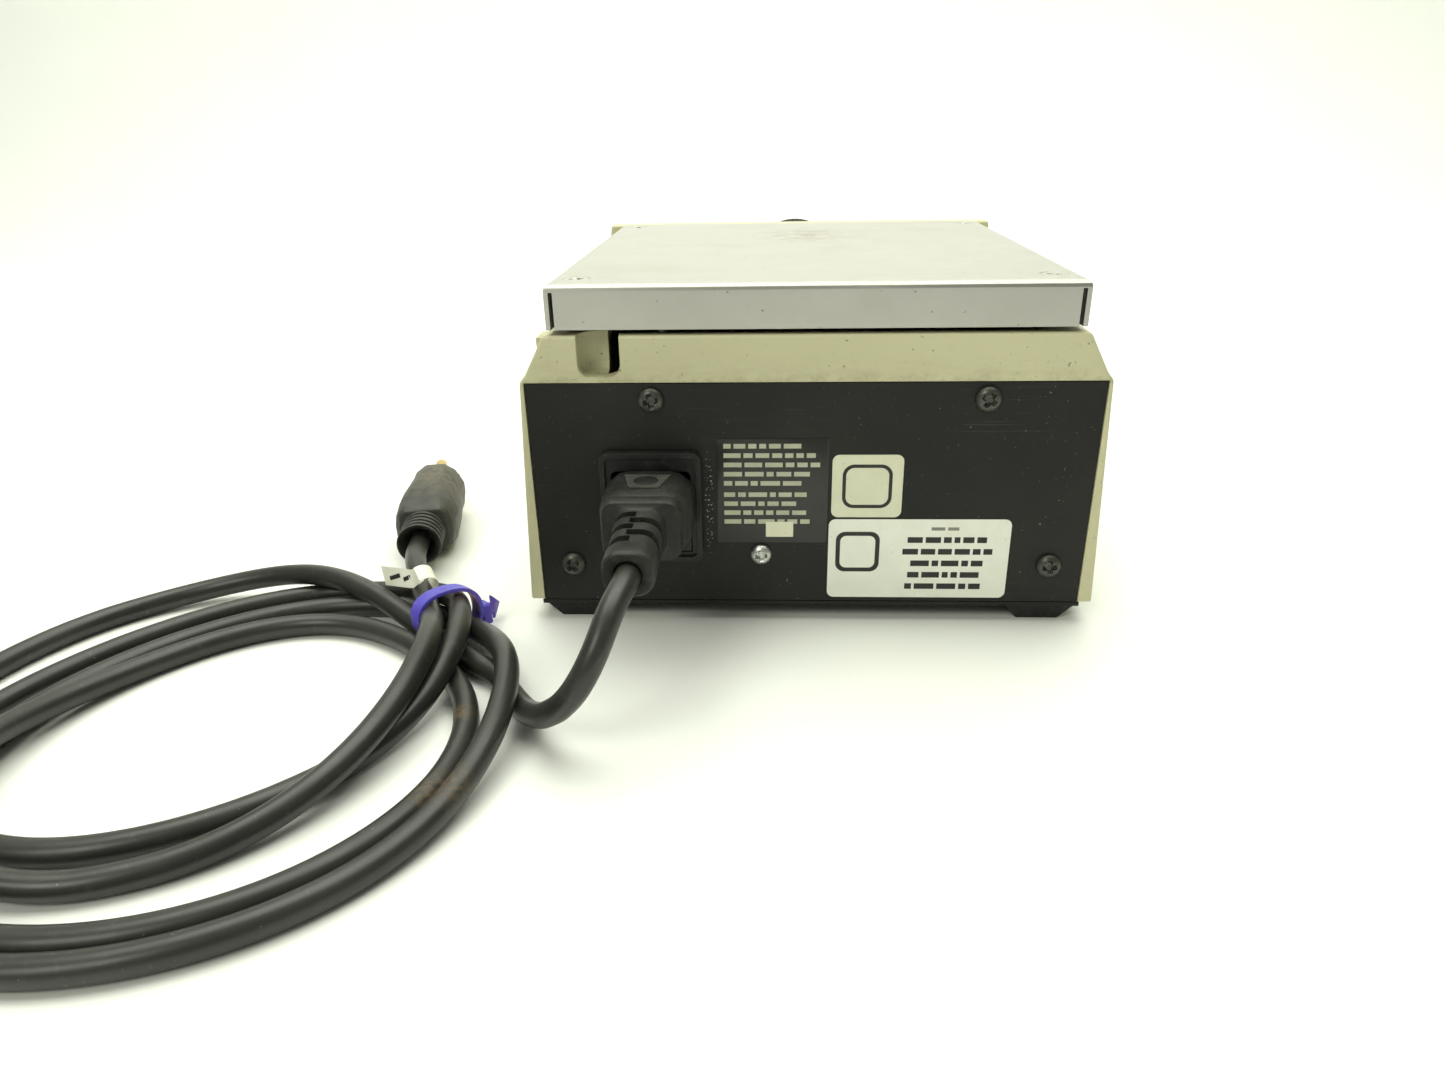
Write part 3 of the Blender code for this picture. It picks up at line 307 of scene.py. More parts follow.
def jacket_material():
    """Smooth black PVC jacket with a satin sheen, faint dust and two brown stains."""
    s = Surface("cord_jacket", (0.017, 0.0172, 0.0148), 0.33)
    s.tint((0.35, 0.7, 26, 4), (0.034, 0.034, 0.03), 0.8)
    s.tint((0.58, 0.8, 3, 5, 0.7), (0.085, 0.082, 0.07), 0.5)
    s.tint((0.74, 0.78, 1.1, 2), (0.2, 0.19, 0.16), 0.7)
    for point, reach in STAINS:
        blot = s.times(s.near(point, 1, reach), s.clouds(0.42, 0.58, 1.6, 5, 0.75))
        s.tint(blot, (0.14, 0.095, 0.045), 0.85)
        s.gloss(blot, 0.75)
    s.gloss((0.35, 0.7, 9, 4), 0.42)
    s.relief(s.noise(0.5, 2), 0.015, 0.5)
    s.relief(s.noise(18, 2), 0.25, 0.3)
    s.finish()


def tie_material():
    s = Surface("tie_nylon", (0.075, 0.055, 0.48), 0.34, rounding=0.2)
    s.tint((0.4, 0.7, 6, 4), (0.11, 0.085, 0.6), 0.7)
    s.tint(s.edges(0.5), (0.2, 0.17, 0.7), 0.5)
    s.gloss((0.4, 0.7, 2.5, 4), 0.5)
    s.relief(s.noise(0.6, 2), 0.02, 0.5)
    s.finish(**{"Subsurface Weight": 0.08})


def flag_material():
    """Paper, a little yellowed and rubbed."""
    s = Surface("flag_paper", (0.86, 0.86, 0.76), 0.45)
    s.tint((0.4, 0.75, 8, 4), (0.74, 0.7, 0.54), 0.6)
    s.tint((0.68, 0.76, 1, 3), (0.407, 0.385, 0.297), 0.6)
    s.gloss((0.4, 0.7, 5, 3), 0.6)
    s.relief(s.noise(0.6, 2), 0.01, 0.4)
    s.finish()


def lens_material():
    s = Surface("lamp_lens", (0.02, 0.3, 0.05), 0.12, rounding=0.2)
    s.tint((0.4, 0.7, 2, 3), (0.03, 0.42, 0.08), 0.6)
    s.relief(s.noise(0.5, 2), 0.01, 0.3)
    s.finish(**{"Coat Weight": 0.6, "Transmission Weight": 0.25})


def glass_material():
    s = Surface("fuse_glass", (0.85, 0.9, 0.88), 0.05)
    s.tint((0.5, 0.7, 3, 3), (0.7, 0.78, 0.75), 0.5)
    s.finish(**{"Transmission Weight": 0.85})


def board_material():
    s = Surface("solder_mask", (0.02, 0.14, 0.045), 0.3)
    tracks = s.between(s.cells(3), 0.32, 0.36)
    s.tint(tracks, (0.03, 0.2, 0.07), 0.8)
    s.relief(tracks, 0.04, 0.6)
    s.finish()


def floor_material():
    s = Surface("floor_paper", (0.86, 0.875, 0.845), 0.5)
    s.tint((0.35, 0.7, 160, 3), (0.89, 0.905, 0.88), 0.7)
    s.tint((0.66, 0.76, 5, 5, 0.7), (0.66, 0.65, 0.56), 0.35)
    s.relief(s.noise(3, 4), 0.05, 0.3)
    s.finish()


def plug_material():
    """Moulded rubber whose front end is smeared with beige dirt."""
    s = Surface("plug_rubber", (0.026, 0.0265, 0.022), 0.45, rounding=0.3)
    s.tint((0.4, 0.7, 9, 4), (0.05, 0.049, 0.042), 0.7)
    tip = plug_frame() @ Vector((0, 10, 48))
    smear = s.times(s.near(tip, 6, 26), s.clouds(0.42, 0.62, 3, 5, 0.75))
    s.tint(smear, (0.2, 0.165, 0.11), 0.75)
    s.gloss(smear, 0.8)
    s.tint(s.edges(0.5), (0.1, 0.098, 0.088), 0.5)
    s.gloss((0.4, 0.7, 4, 4), 0.62)
    s.relief(s.noise(0.4, 2), 0.03, 0.6)
    s.finish()


def label_material(name, colour, shade, roughness, coat):
    s = Surface(name, colour, roughness)
    s.tint((0.4, 0.72, 7, 4), shade, 0.6)
    s.tint((0.69, 0.75, 0.9, 3), tuple(c * 0.6 for c in shade), 0.5)
    s.gloss((0.4, 0.7, 4, 3), roughness + 0.12)
    s.relief(s.noise(5, 2), 0.02, 0.4)
    s.finish(**{"Coat Weight": coat})


# --- mesh helpers

SMOOTH = 35  # degrees; an edge that bends more than this is drawn sharp


def add_object(name, data):
    """A new object in the scene, around a mesh, curve, lamp or camera."""
    made = bpy.data.objects.new(name, data)
    bpy.context.scene.collection.objects.link(made)
    return made


def to_mesh(bm, name, matrix=None):
    """Move a bmesh by a matrix, take it from millimetres to metres and make a mesh of it."""
    if matrix:
        bmesh.ops.transform(bm, matrix=matrix, verts=bm.verts)
    bmesh.ops.recalc_face_normals(bm, faces=bm.faces)
    bmesh.ops.scale(bm, verts=bm.verts, vec=(MM, MM, MM))
    mesh = bpy.data.meshes.new(name)
    bm.to_mesh(mesh)
    bm.free()
    return mesh


def shade(mesh, smooth):
    mesh.shade_smooth()
    mesh.set_sharp_from_angle(angle=math.radians(smooth))


def make_piece(name, bm, finish, body, smooth=SMOOTH, matrix=None):
    """Turn a bmesh in millimetres into a piece that rides on a body."""
    mesh = to_mesh(bm, name, matrix)
    shade(mesh, smooth)
    mesh.materials.append(SURFACES[finish])
    piece = add_object(name, mesh)
    if body:
        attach(piece, body)
    return piece


def lead_piece(name, bm, finish, matrix, smooth=SMOOTH):
    """A piece that rides with the mains lead."""
    return make_piece(name, bm, finish, "mains_lead", smooth, matrix)


def apply_modifiers(piece, smooth=SMOOTH):
    """Bake a piece's modifiers into its mesh."""
    graph = bpy.context.evaluated_depsgraph_get()
    mesh = bpy.data.meshes.new_from_object(piece.evaluated_get(graph))
    piece.modifiers.clear()
    piece.data = mesh
    shade(mesh, smooth)


def round_edges(piece, width, segments, limit=30, smooth=SMOOTH):
    """Bevel the edges of a piece that bend more than a limit in degrees."""
    step = piece.modifiers.new("edges", "BEVEL")
    step.width = width * MM
    step.segments = segments
    step.angle_limit = math.radians(limit)
    apply_modifiers(piece, smooth)


def cut(piece, bm, matrix):
    """Cut a piece by a bmesh of separate closed solids."""
    tool = add_object("cutter", to_mesh(bm, "cutter", matrix))
    tool.matrix_world = piece.matrix_world
    step = piece.modifiers.new("cut", "BOOLEAN")
    step.operation = "DIFFERENCE"
    step.solver = "EXACT"
    step.use_self = True
    step.object = tool
    bpy.context.view_layer.update()
    apply_modifiers(piece)
    bpy.data.objects.remove(tool, do_unlink=True)


def loft(rings, closed=False, bm=None):
    """Skin closed rings of points. The ends are capped unless the loft closes on itself."""
    if bm is None:
        bm = bmesh.new()
    loops = [[bm.verts.new(point) for point in ring] for ring in rings]
    count = len(loops[0])
    pairs = list(zip(loops, loops[1:]))
    if closed:
        pairs.append((loops[-1], loops[0]))
    for lower, upper in pairs:
        for i in range(count):
            j = (i + 1) % count
            bm.faces.new((lower[i], lower[j], upper[j], upper[i]))
    if not closed:
        bm.faces.new(loops[0])
        bm.faces.new(loops[-1])
    return bm


def stacked(*levels):
    """Rings of points for a loft, from (outline, level on z) pairs."""
    return [[(x, y, level) for x, y in outline] for outline, level in levels]


def flat_ring(outer, inner, thickness):
    """A flat band between two outlines."""
    rings = stacked((outer, 0), (outer, thickness), (inner, thickness), (inner, 0))
    return loft(rings, closed=True)


def add_box(bm, low, high, place=Matrix()):
    low, high = Vector(low), Vector(high)
    matrix = place @ Matrix.Translation((low + high) / 2) @ Matrix.Diagonal((*(high - low), 1))
    bmesh.ops.create_cube(bm, size=1.0, matrix=matrix)


def arc(centre, radius, start, end, steps):
    angles = [math.radians(start + (end - start) * i / steps) for i in range(steps + 1)]
    return [(centre[0] + radius * math.cos(a), centre[1] + radius * math.sin(a)) for a in angles]


def circle(radius, count, centre=(0, 0)):
    return arc(centre, radius, 0, 360 * (count - 1) / count, count - 1)


def sector(inner, outer, start, end, steps=14):
    """Outline of a stretch of a flat ring, angles in degrees."""
    return arc((0, 0), outer, start, end, steps) + arc((0, 0), inner, end, start, steps)


def rounded_rectangle(width, height, radius, steps=5, centre=(0, 0)):
    points = []
    for side_x, side_y, angle in ((1, 1, 0), (-1, 1, 90), (-1, -1, 180), (1, -1, 270)):
        middle = (centre[0] + side_x * (width / 2 - radius), centre[1] + side_y * (height / 2 - radius))
        points += arc(middle, radius, angle, angle + 90, steps)
    return points


def mirrored(half):
    """A closed outline from the points of its right half, in order."""
    return half + [(-x, y) for x, y in reversed(half)]


def turned(profile, count, centre=(0, 0), bm=None):
    """Turn a profile of (radius, level) pairs about the z axis."""
    return loft(stacked(*[(circle(radius, count, centre), level) for radius, level in profile]), bm=bm)


def axis_frame(origin, forward, up=(0, 0, 1)):
    """Matrix of a local frame: z forward, y up, x across."""
    forward = Vector(forward).normalized()
    across = Vector(up).cross(forward).normalized()
    up = forward.cross(across)
    turn = Matrix((across, up, forward)).transposed().to_4x4()
    return Matrix.Translation(Vector(origin)) @ turn


def turn_about(axis, degrees):
    return Matrix.Rotation(math.radians(degrees), 4, axis)


def smooth_points(route, per_span):
    """Points on a Catmull-Rom curve through a route."""
    points = [Vector(p) for p in route]
    curve = []
    for i in range(len(points) - 1):
        before, start = points[max(i - 1, 0)], points[i]
        end, after = points[i + 1], points[min(i + 2, len(points) - 1)]
        for k in range(per_span):
            t = k / per_span
            curve.append(0.5 * (
                2 * start + (end - before) * t
                + (2 * before - 5 * start + 4 * end - after) * t * t
                + (3 * start - before - 3 * end + after) * t * t * t
            ))
    curve.append(points[-1])
    return curve


def ease(t):
    t = min(max(t, 0), 1)
    return t * t * (3 - 2 * t)


# --- mains lead

CORD_RADIUS = 3.55
FLOOR_Z = CORD_RADIUS + 0.05
COIL_X, COIL_DEPTH = 169.5, -62
INLET_X, CORD_Z = 49.8, 44
PLUG_X, PLUG_DEPTH, PLUG_Z = 140.8, 33, 12.2
PLUG_HEADING = math.radians(-79)
TIE_TURN = 221  # degrees round the coil, at which the tie holds all its turns
COARSE, FINE = 4.5, 2.5  # between points of the lead while it settles, and when it is drawn
PER_CONTROL = 4.7  # points to each control point of the settling lead
ROUNDS = 700  # of settling
HELD = (24, 8)  # points that stay put at the connector and at the plug
AIR, NEIGHBOURS = 0.5, 9  # gap kept between turns, and points too near along the lead to touch
PUSH, SINK, PULL_BACK = 0.55, 0.04, 0.01  # share of a push taken, mm sunk, share of drift undone
SPRING, FIRST_SPRING = 0.02, 0.08  # share of the bending that springs back
# Brown stains on the jacket as (place, reach)
STAINS = [((91.5, y_at(-99), 7), 9), ((97, y_at(-66), 7), 5)]

# The lead from inside the strain relief down to the coil, as (x, depth, z)
LEAD_ROUTE = [
    (49.8, -50, 44), (49.8, -58, 44), (50.1, -62, 43.8), (51.4, -67, 42.4),
    (53.1, -72.8, 39.4), (55, -77.3, 34.8), (57.6, -80, 29.4), (61, -80.8, 23.6),
    (65.6, -78.8, 17.4), (70.4, -74.4, 12.2), (73.3, -71, 9.4), (78.3, -64.4, 5.8),
    (83.2, -57.2, 4.3), (88.9, -48.9, 4), (95.8, -38.6, 4), (102.7, -28.6, 4),
]

# Each turn of the coil as (degrees past the tie, radius, height), from the lead to the plug
TURNS = [
    [(0, 73, 4), (11, 68, 8), (19, 66.5, 11.5), (39, 70.7, 12), (52, 74, 10.5), (63, 78.5, 8),
     (81, 88.5, 4.8), (97, 89.6, 4), (114, 83.3, 4), (139, 81.5, 4), (164, 84, 4), (199, 87, 4),
     (229, 87, 4), (256, 87.8, 4), (274, 92, 4), (286, 92.3, 4), (308, 87.2, 4), (319, 84.7, 7),
     (328, 82.8, 11), (335, 81.8, 11.9), (342, 81.2, 10.5), (351, 80.8, 7)],
    [(0, 77.5, 4.5), (11, 74, 4), (20, 71, 4), (35, 68, 4), (45, 65, 4), (70, 53.5, 4),
     (101, 46.5, 4), (139, 52, 4), (153, 58.5, 4), (179, 66, 4), (197, 69, 4), (215, 66, 4), (237, 56, 4),
     (254, 52.3, 4), (272, 52.9, 4), (291, 56.6, 4), (313, 63.2, 4), (326, 68, 8), (339, 71.5, 10),
     (353, 75, 11)],
    [(0, 73.5, 12), (12, 73, 11), (19, 76, 9.5), (33, 81, 5.5), (43, 83, 4), (51, 77, 4),
     (62, 68.6, 4), (83, 60.1, 4), (116, 58.8, 4), (135, 64.9, 4), (164, 76, 4), (194, 83, 8),
     (219, 87, 11), (244, 90.7, 11), (261, 93.1, 11), (270, 91.7, 10), (282, 87.4, 7),
     (296, 83.9, 5), (307, 78.7, 4), (322, 74.1, 4), (336, 72.6, 4), (349, 69, 4)],
    [(0, 66.5, 4), (11, 65, 4), (20, 61, 4.5), (33, 60, 6), (45, 57.5, 6.5), (70, 45.5, 6.5),
     (101, 40.5, 6), (140, 46, 4), (166, 58, 4), (189, 70, 9), (209, 75, 10), (223, 74, 8),
     (242, 66.7, 4), (255, 63.8, 6), (270, 65.9, 10), (277, 66.4, 11.5), (288, 62.8, 12),
     (306, 57.4, 11), (327, 60.8, 11), (344, 64.7, 11.5), (356, 67.5, 12)],
]

# The tail from the tie up to the plug, as (x, depth, z)
TAIL_ROUTE = [
    (120.8, -12.5, 14),
    (127.5, -2.5, 18),
    (133.5, 9, 17),
    (137.6, 20, 14),
    (140.1, 29.5, 12.4),
]


def coil_points():
    """Points on the coil's turns, in the part's frame."""
    centre_y = y_at(COIL_DEPTH)
    points = []
    for turn in TURNS:
        for degrees, radius, height in turn:
            angle = math.radians(TIE_TURN + degrees)
            points.append((COIL_X + radius * math.cos(angle), centre_y + radius * math.sin(angle), height))
    return points


def evenly(points, spacing):
    """The same line with its points a given distance apart."""
    line = np.array([tuple(p) for p in points])
    steps = np.linalg.norm(np.diff(line, axis=0), axis=1)
    travelled = np.concatenate([[0], np.cumsum(steps)])
    count = int(round(travelled[-1] / spacing))
    wanted = np.linspace(0, travelled[-1], count + 1)
    return np.stack([np.interp(wanted, travelled, line[:, k]) for k in range(3)], axis=1)


def blurred(values, times):
    """Values along the lead, each averaged with its neighbours so many times. The ends stay put."""
    out = values.copy()
    for _ in range(times):
        out[1:-1] = 0.25 * out[:-2] + 0.5 * out[1:-1] + 0.25 * out[2:]
    return out


def on_level(points, heights):
    """Slide points along their lines of sight from the camera until they are at given heights."""
    eye = np.array(CAMERA_PLACE)
    return eye + (points - eye) * ((eye[2] - heights) / (eye[2] - points[:, 2]))[:, None]


def spline_weights(count, spacing):
    """Cubic B-spline weights of every point of a line, for control points so many points apart."""
    controls = int(round((count - 1) / spacing)) + 3
    weights = np.zeros((count, controls))
    for i in range(count):
        along = i / (count - 1) * (controls - 3)
        k = min(int(along), controls - 4)
        t = along - k
        weights[i, k:k + 4] = ((1 - t) ** 3 / 6, (3 * t ** 3 - 6 * t ** 2 + 4) / 6,
                               (-3 * t ** 3 + 3 * t ** 2 + 3 * t + 1) / 6, t ** 3 / 6)
    return weights


def relaxed(controls, stiffness, times=1):
    """Control points after a little of the bending in them has sprung back."""
    out = controls.copy()
    for _ in range(times):
        bend = out[:-2] - 2 * out[1:-1] + out[2:]
        out[2:-2] -= stiffness * (bend[:-2] - 2 * bend[1:-1] + bend[2:])
    return out


def settle(line):
    """Let a springy cord sink onto the floor and onto itself, and part turns that overlap."""
    free = np.ones(len(line))
    free[:HELD[0]] = 0
    free[-HELD[1]:] = 0
    free = blurred(free, 9)[:, None]
    weights = spline_weights(len(line), PER_CONTROL)
    fit = np.linalg.pinv(weights)
    flat = weights @ relaxed(fit @ on_level(line, np.full(len(line), FLOOR_Z)), FIRST_SPRING, 30)
    height = weights @ relaxed(blurred(fit @ line[:, 2:], 6), FIRST_SPRING, 10)
    start = fit @ on_level(flat, np.maximum(height[:, 0], FLOOR_Z))
    controls = start.copy()
    share = weights.T / (weights.T ** 2).sum(axis=1)[:, None]
    reach = 2 * CORD_RADIUS + AIR
    order = np.arange(len(line))
    apart = np.abs(order[:, None] - order[None, :]) > NEIGHBOURS
    for _ in range(ROUNDS):
        place = line + (weights @ controls - line) * free
        between = place[:, None, :] - place[None, :, :]
        distance = np.linalg.norm(between, axis=2) + 1e-6
        touching = apart & (distance < reach)
        push = np.where(touching, (reach - distance) / distance, 0)[:, :, None] * between
        change = push.sum(axis=1) / np.maximum(touching.sum(axis=1), 1)[:, None]
        change[:, 2] += np.maximum(FLOOR_Z - place[:, 2], 0)
        controls += PUSH * share @ (change * free)
        controls[:, 2] -= SINK
        controls = relaxed(controls, SPRING)
        controls[:, :2] += PULL_BACK * (start - controls)[:, :2]
    place = line + (weights @ controls - line) * free
    place[:, 2] = np.maximum(place[:, 2], FLOOR_Z)
    return place


def lead_line():
    """Points on the middle of the settled lead, from the connector to the plug."""
    lead = [(x, y_at(depth), z) for x, depth, z in LEAD_ROUTE]
    tail = [(x, y_at(depth), z) for x, depth, z in TAIL_ROUTE]
    plug_in = plug_frame() @ Vector((0, 0, 4))
    route = lead + coil_points() + tail + [tuple(plug_in)]
    line = evenly(smooth_points(route, 8), COARSE)
    return evenly(smooth_points(settle(line), 3), FINE)


def build_lead():
    curve = bpy.data.curves.new("mains_lead", "CURVE")
    curve.dimensions = "3D"
    curve.bevel_depth = CORD_RADIUS * MM
    curve.bevel_resolution = 7
    curve.use_fill_caps = True
    line = lead_line()
    spline = curve.splines.new("POLY")
    spline.points.add(len(line) - 1)
    for target, point in zip(spline.points, line):
        target.co = (*(Vector(point) * MM), 1)
    spline.use_smooth = True
    curve.materials.append(SURFACES["cord_jacket"])
    lead = add_object("mains_lead", curve)
    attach(lead, "mains_lead")
    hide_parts("lead_tube", "cord_coil", "tail_tube")
    return lead


# --- connector

CONNECTOR_FACE = 3.2  # of the grip, behind the rear face of the case
NOSE_END = -14.2

# Sections of the grip as (width, height, chamfer, corner radius, level)
GRIP = [
    (24.2, 16.2, 4.2, 1.4, NOSE_END), (24.2, 16.2, 4.2, 1.4, CONNECTOR_FACE),
    (26.6, 18.8, 5.2, 2.2, CONNECTOR_FACE), (27.4, 19.4, 5.4, 2.4, CONNECTOR_FACE + 0.8),
    (27.2, 19.2, 5.4, 2.6, 18), (26.6, 18.8, 5.2, 3, 20.6), (23.4, 17.4, 4.6, 3.4, 23.2),
    (21.8, 16.6, 4.4, 3.4, 24), (21.6, 16.4, 4.2, 3.4, 26.5),
]
SOCKETS_AT = ((0, 2.3), (-7, -1.7), (7, -1.7))
SOCKET_HALF_WIDTH, SOCKET_HALF_HEIGHT = 1.4, 2.4

# Sections of the collar and strain relief as (width, height, corner radius, level)
COLLAR = [
    (22.6, 17.6, 3.6, 24), (23.6, 18.8, 4, 24.7), (23.4, 18.6, 4, 28),
    (22.4, 17.8, 3.8, 28.9), (17.4, 16, 4.4, 29.3), (15.2, 15, 5, 30),
    (14.9, 14.6, 5, 32), (13.3, 12.6, 4.8, 50), (13.6, 12.8, 4.8, 50.6),
    (14.3, 13.3, 5, 51.1), (14.3, 13.1, 5, 56.2), (13.9, 12.7, 4.8, 57.2), (12.9, 11.8, 4.6, 57.7),
    (8.4, 8.3, 4.1, 57.7), (7.5, 7.5, 3.7, 57.4), (7.2, 7.2, 3.55, 50),
]
SLOT_START, SLOT_PITCH, SLOT_WIDTH, SLOT_ROWS = 31.2, 3.75, 3.3, 5
SLOT_INNER, SLOT_OUTER = 4.7, 13
# The stretches, in degrees, that the slots of the even and of the odd rows take up
SLOT_ARCS = (((94, 205), (288, 345)), ((-34, 106), (192, 252)))


def connector_section(width, height, chamfer, radius, level):
    """Closed section with two chamfered upper corners and two rounded lower ones."""
    half, top, bottom = width / 2, height / 2, -height / 2
    drop, soft = chamfer * 0.8, min(radius, chamfer * 0.35)
    points = mirrored([
        (half, bottom + radius + 0.01), (half, top - drop - soft),
        (half - soft * 0.35, top - drop + soft * 0.3),
        (half - chamfer + soft * 0.6, top - soft * 0.35), (half - chamfer - soft, top),
    ])
    points += arc((-half + radius, bottom + radius), radius, 180, 270, 4)
    points += arc((half - radius, bottom + radius), radius, 270, 360, 4)
    return [(x, y, level) for x, y in points]


def build_connector():
    """Moulded mains connector: grip with chamfered shoulders, collar and slotted strain relief."""
    place = axis_frame((INLET_X, REAR_Y, CORD_Z + 0.3), (0, 1, 0))
    rings = [connector_section(*row) for row in GRIP]
    body = lead_piece("mains_connector_grip", loft(rings), "moulded_rubber", place)
    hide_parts("mains_connector")
    sockets = bmesh.new()
    for x, y in SOCKETS_AT:
        add_box(sockets, (x - SOCKET_HALF_WIDTH, y - SOCKET_HALF_HEIGHT, NOSE_END - 2.8),
                (x + SOCKET_HALF_WIDTH, y + SOCKET_HALF_HEIGHT, 1))
    cut(body, sockets, place)

    rings = stacked(*[(rounded_rectangle(w, h, r, 6), level) for w, h, r, level in COLLAR])
    relief = lead_piece("mains_connector_relief", loft(rings), "moulded_rubber", place)
    slots = bmesh.new()
    for row in range(SLOT_ROWS):
        level = SLOT_START + row * SLOT_PITCH
        for start, end in SLOT_ARCS[row % 2]:
            outline = sector(SLOT_INNER, SLOT_OUTER, start, end)
            loft(stacked((outline, level), (outline, level + SLOT_WIDTH)), bm=slots)
    cut(relief, slots, place)

    pad = [(-7.2, 4.6), (7.2, 4.6), (4.4, 15.6), (-4.4, 15.6)]
    top = 9.7
    rings = [[(x, top - 0.3, CONNECTOR_FACE + z) for x, z in pad],
             [(x * 0.985, top + 0.3, CONNECTOR_FACE + z) for x, z in pad]]
    label = lead_piece("mains_connector_pad", loft(rings), "pad_rubber", place)
    middle = CONNECTOR_FACE + 10
    rings = [[(x * 3.7 * size, top + lift, middle + y * 3.4 * size) for x, y in circle(1, 40)]
             for size, lift in ((1, 0.1), (1, 0.46), (0.93, 0.56))]
    oval = lead_piece("mains_connector_mark", loft(rings), "moulded_black", place)
    return [body, relief, label, oval]


# --- plug, tie and tag

# Sections of the plug's grip as (level, then half width and height of crown, wing and foot)
PLUG_SECTIONS = [
    (14.4, 6.6, 7.7, 8.8, 1.2, 6.4, -8.4),
    (16.4, 6.6, 8.8, 10.6, 1.6, 7, -10),
    (24, 6, 10.4, 11.8, 2, 7.6, -11.2),
    (33, 5.2, 11.5, 11.8, 2.2, 7.6, -11.5),
    (42, 4.4, 11.6, 11.2, 2, 7.6, -11.4),
    (52, 4, 11.2, 10.4, 2, 7.4, -10.8),
    (59, 3.8, 10.8, 10.9, 2, 7.4, -10.2),
    (61, 3.4, 10.3, 10.5, 2, 7, -9.8),
]
PLUG_FACET = 14  # degrees; the grip's facets meet at more than this
BLADE_X, BLADE_HOLE_HALF = 6.35, 1
EARTH_HOLE_Y, EARTH_HOLE_RADIUS = 5, 2.7
HOLES_FROM, HOLES_TO = 52, 70
RIBS, RIB_PITCH, RIB_TOP = 4, 3.1, 13.9


def plug_frame():
    """Local frame of the mains plug: z runs from its strain relief to its blades."""
    forward = (math.cos(PLUG_HEADING), math.sin(PLUG_HEADING), 0)
    return axis_frame((PLUG_X, y_at(PLUG_DEPTH), PLUG_Z), forward)


def plug_section(level, crown, crown_y, wing, wing_y, foot, foot_y):
    """Twelve-sided section: a flat crown, slanting shoulders, upright wings and a flat foot."""
    side_y = wing_y - 4
    half = [(crown, crown_y), ((crown + wing) / 2 + 0.6, (crown_y + wing_y) / 2 + 1.4), (wing, wing_y),
            (wing, side_y), ((foot + wing) / 2 + 0.8, (foot_y + side_y) / 2 - 1), (foot, foot_y)]
    return [(x, y, level) for x, y in mirrored(half)]


def rib_profile():
    """Profile of the ribbed strain relief, with a hollow cup where the lead comes in."""
    profile = [(6.4, 17), (6.4, 14)]
    for k in range(RIBS):
        level = RIB_TOP - k * RIB_PITCH
        profile += [(7.7, level), (7.9, level - 0.25), (7.9, level - 1.35), (7.7, level - 1.6),
                    (6.2, level - 1.75), (6.2, level - 2.95)]
    return profile + [(7.7, 1.5), (7.95, 1.2), (7.95, 0.2), (7.75, 0), (7.4, 0), (7.15, 0.3),
                      (5.9, 1.5), (5.3, 4.5), (4, 6), (3.7, 9)]


def build_plug():
    """Moulded plug with winged grip, ribbed strain relief and a flat crown."""
    place = plug_frame()
    rings = [plug_section(*row) for row in PLUG_SECTIONS]
    plug = lead_piece("mains_plug_grip", loft(rings), "plug_rubber", place, smooth=PLUG_FACET)
    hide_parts("plug_body")
    round_edges(plug, 0.5, 2, PLUG_FACET, PLUG_FACET)
    holes = bmesh.new()
    for side in (-1, 1):
        x = side * BLADE_X
        add_box(holes, (x - BLADE_HOLE_HALF, -6.8, HOLES_FROM), (x + BLADE_HOLE_HALF, 0.4, HOLES_TO))
    turned([(EARTH_HOLE_RADIUS, HOLES_FROM), (EARTH_HOLE_RADIUS, HOLES_TO)], 20,
           (0, EARTH_HOLE_Y), holes)
    cut(plug, holes, place)
    ribs = lead_piece("mains_plug_ribs", turned(rib_profile(), 48), "rib_rubber", place)
    return [plug, ribs]


TIE_RADIUS = 72.8  # from the coil's centre to the turns that the tie holds
LOOP_HALF_X, LOOP_HALF_Y, LOOP_X, LOOP_Y = 10.3, 7.9, 0.8, 9.2
LOOP_POWER = 0.84  # 1 is an ellipse, and less is squarer
STRAP_WIDTH, STRAP_THICKNESS, STRAP_CROWN = 6.6, 1.2, 0.15
TIE_LEAN, ARROW_BEND = 8, -52  # degrees


def tie_frame():
    """Local frame of the tie's loop: z along the bundled turns, x out of the coil, y up."""
    c, s = math.cos(math.radians(TIE_TURN)), math.sin(math.radians(TIE_TURN))
    centre = (COIL_X + TIE_RADIUS * c, y_at(COIL_DEPTH) + TIE_RADIUS * s, 0)
    return axis_frame(centre, (-s, c, 0)) @ turn_about("X", TIE_LEAN)


def strap_rings(path, across):
    """Sections of the strap along a path of (point, outward) pairs."""
    half, thick = STRAP_WIDTH / 2, STRAP_THICKNESS / 2
    shape = [(-half, -thick), (half, -thick), (half + STRAP_CROWN, 0), (half, thick),
             (0, thick + STRAP_CROWN), (-half, thick), (-half - STRAP_CROWN, 0)]
    return [[point + across * a + outward * b for a, b in shape] for point, outward in path]


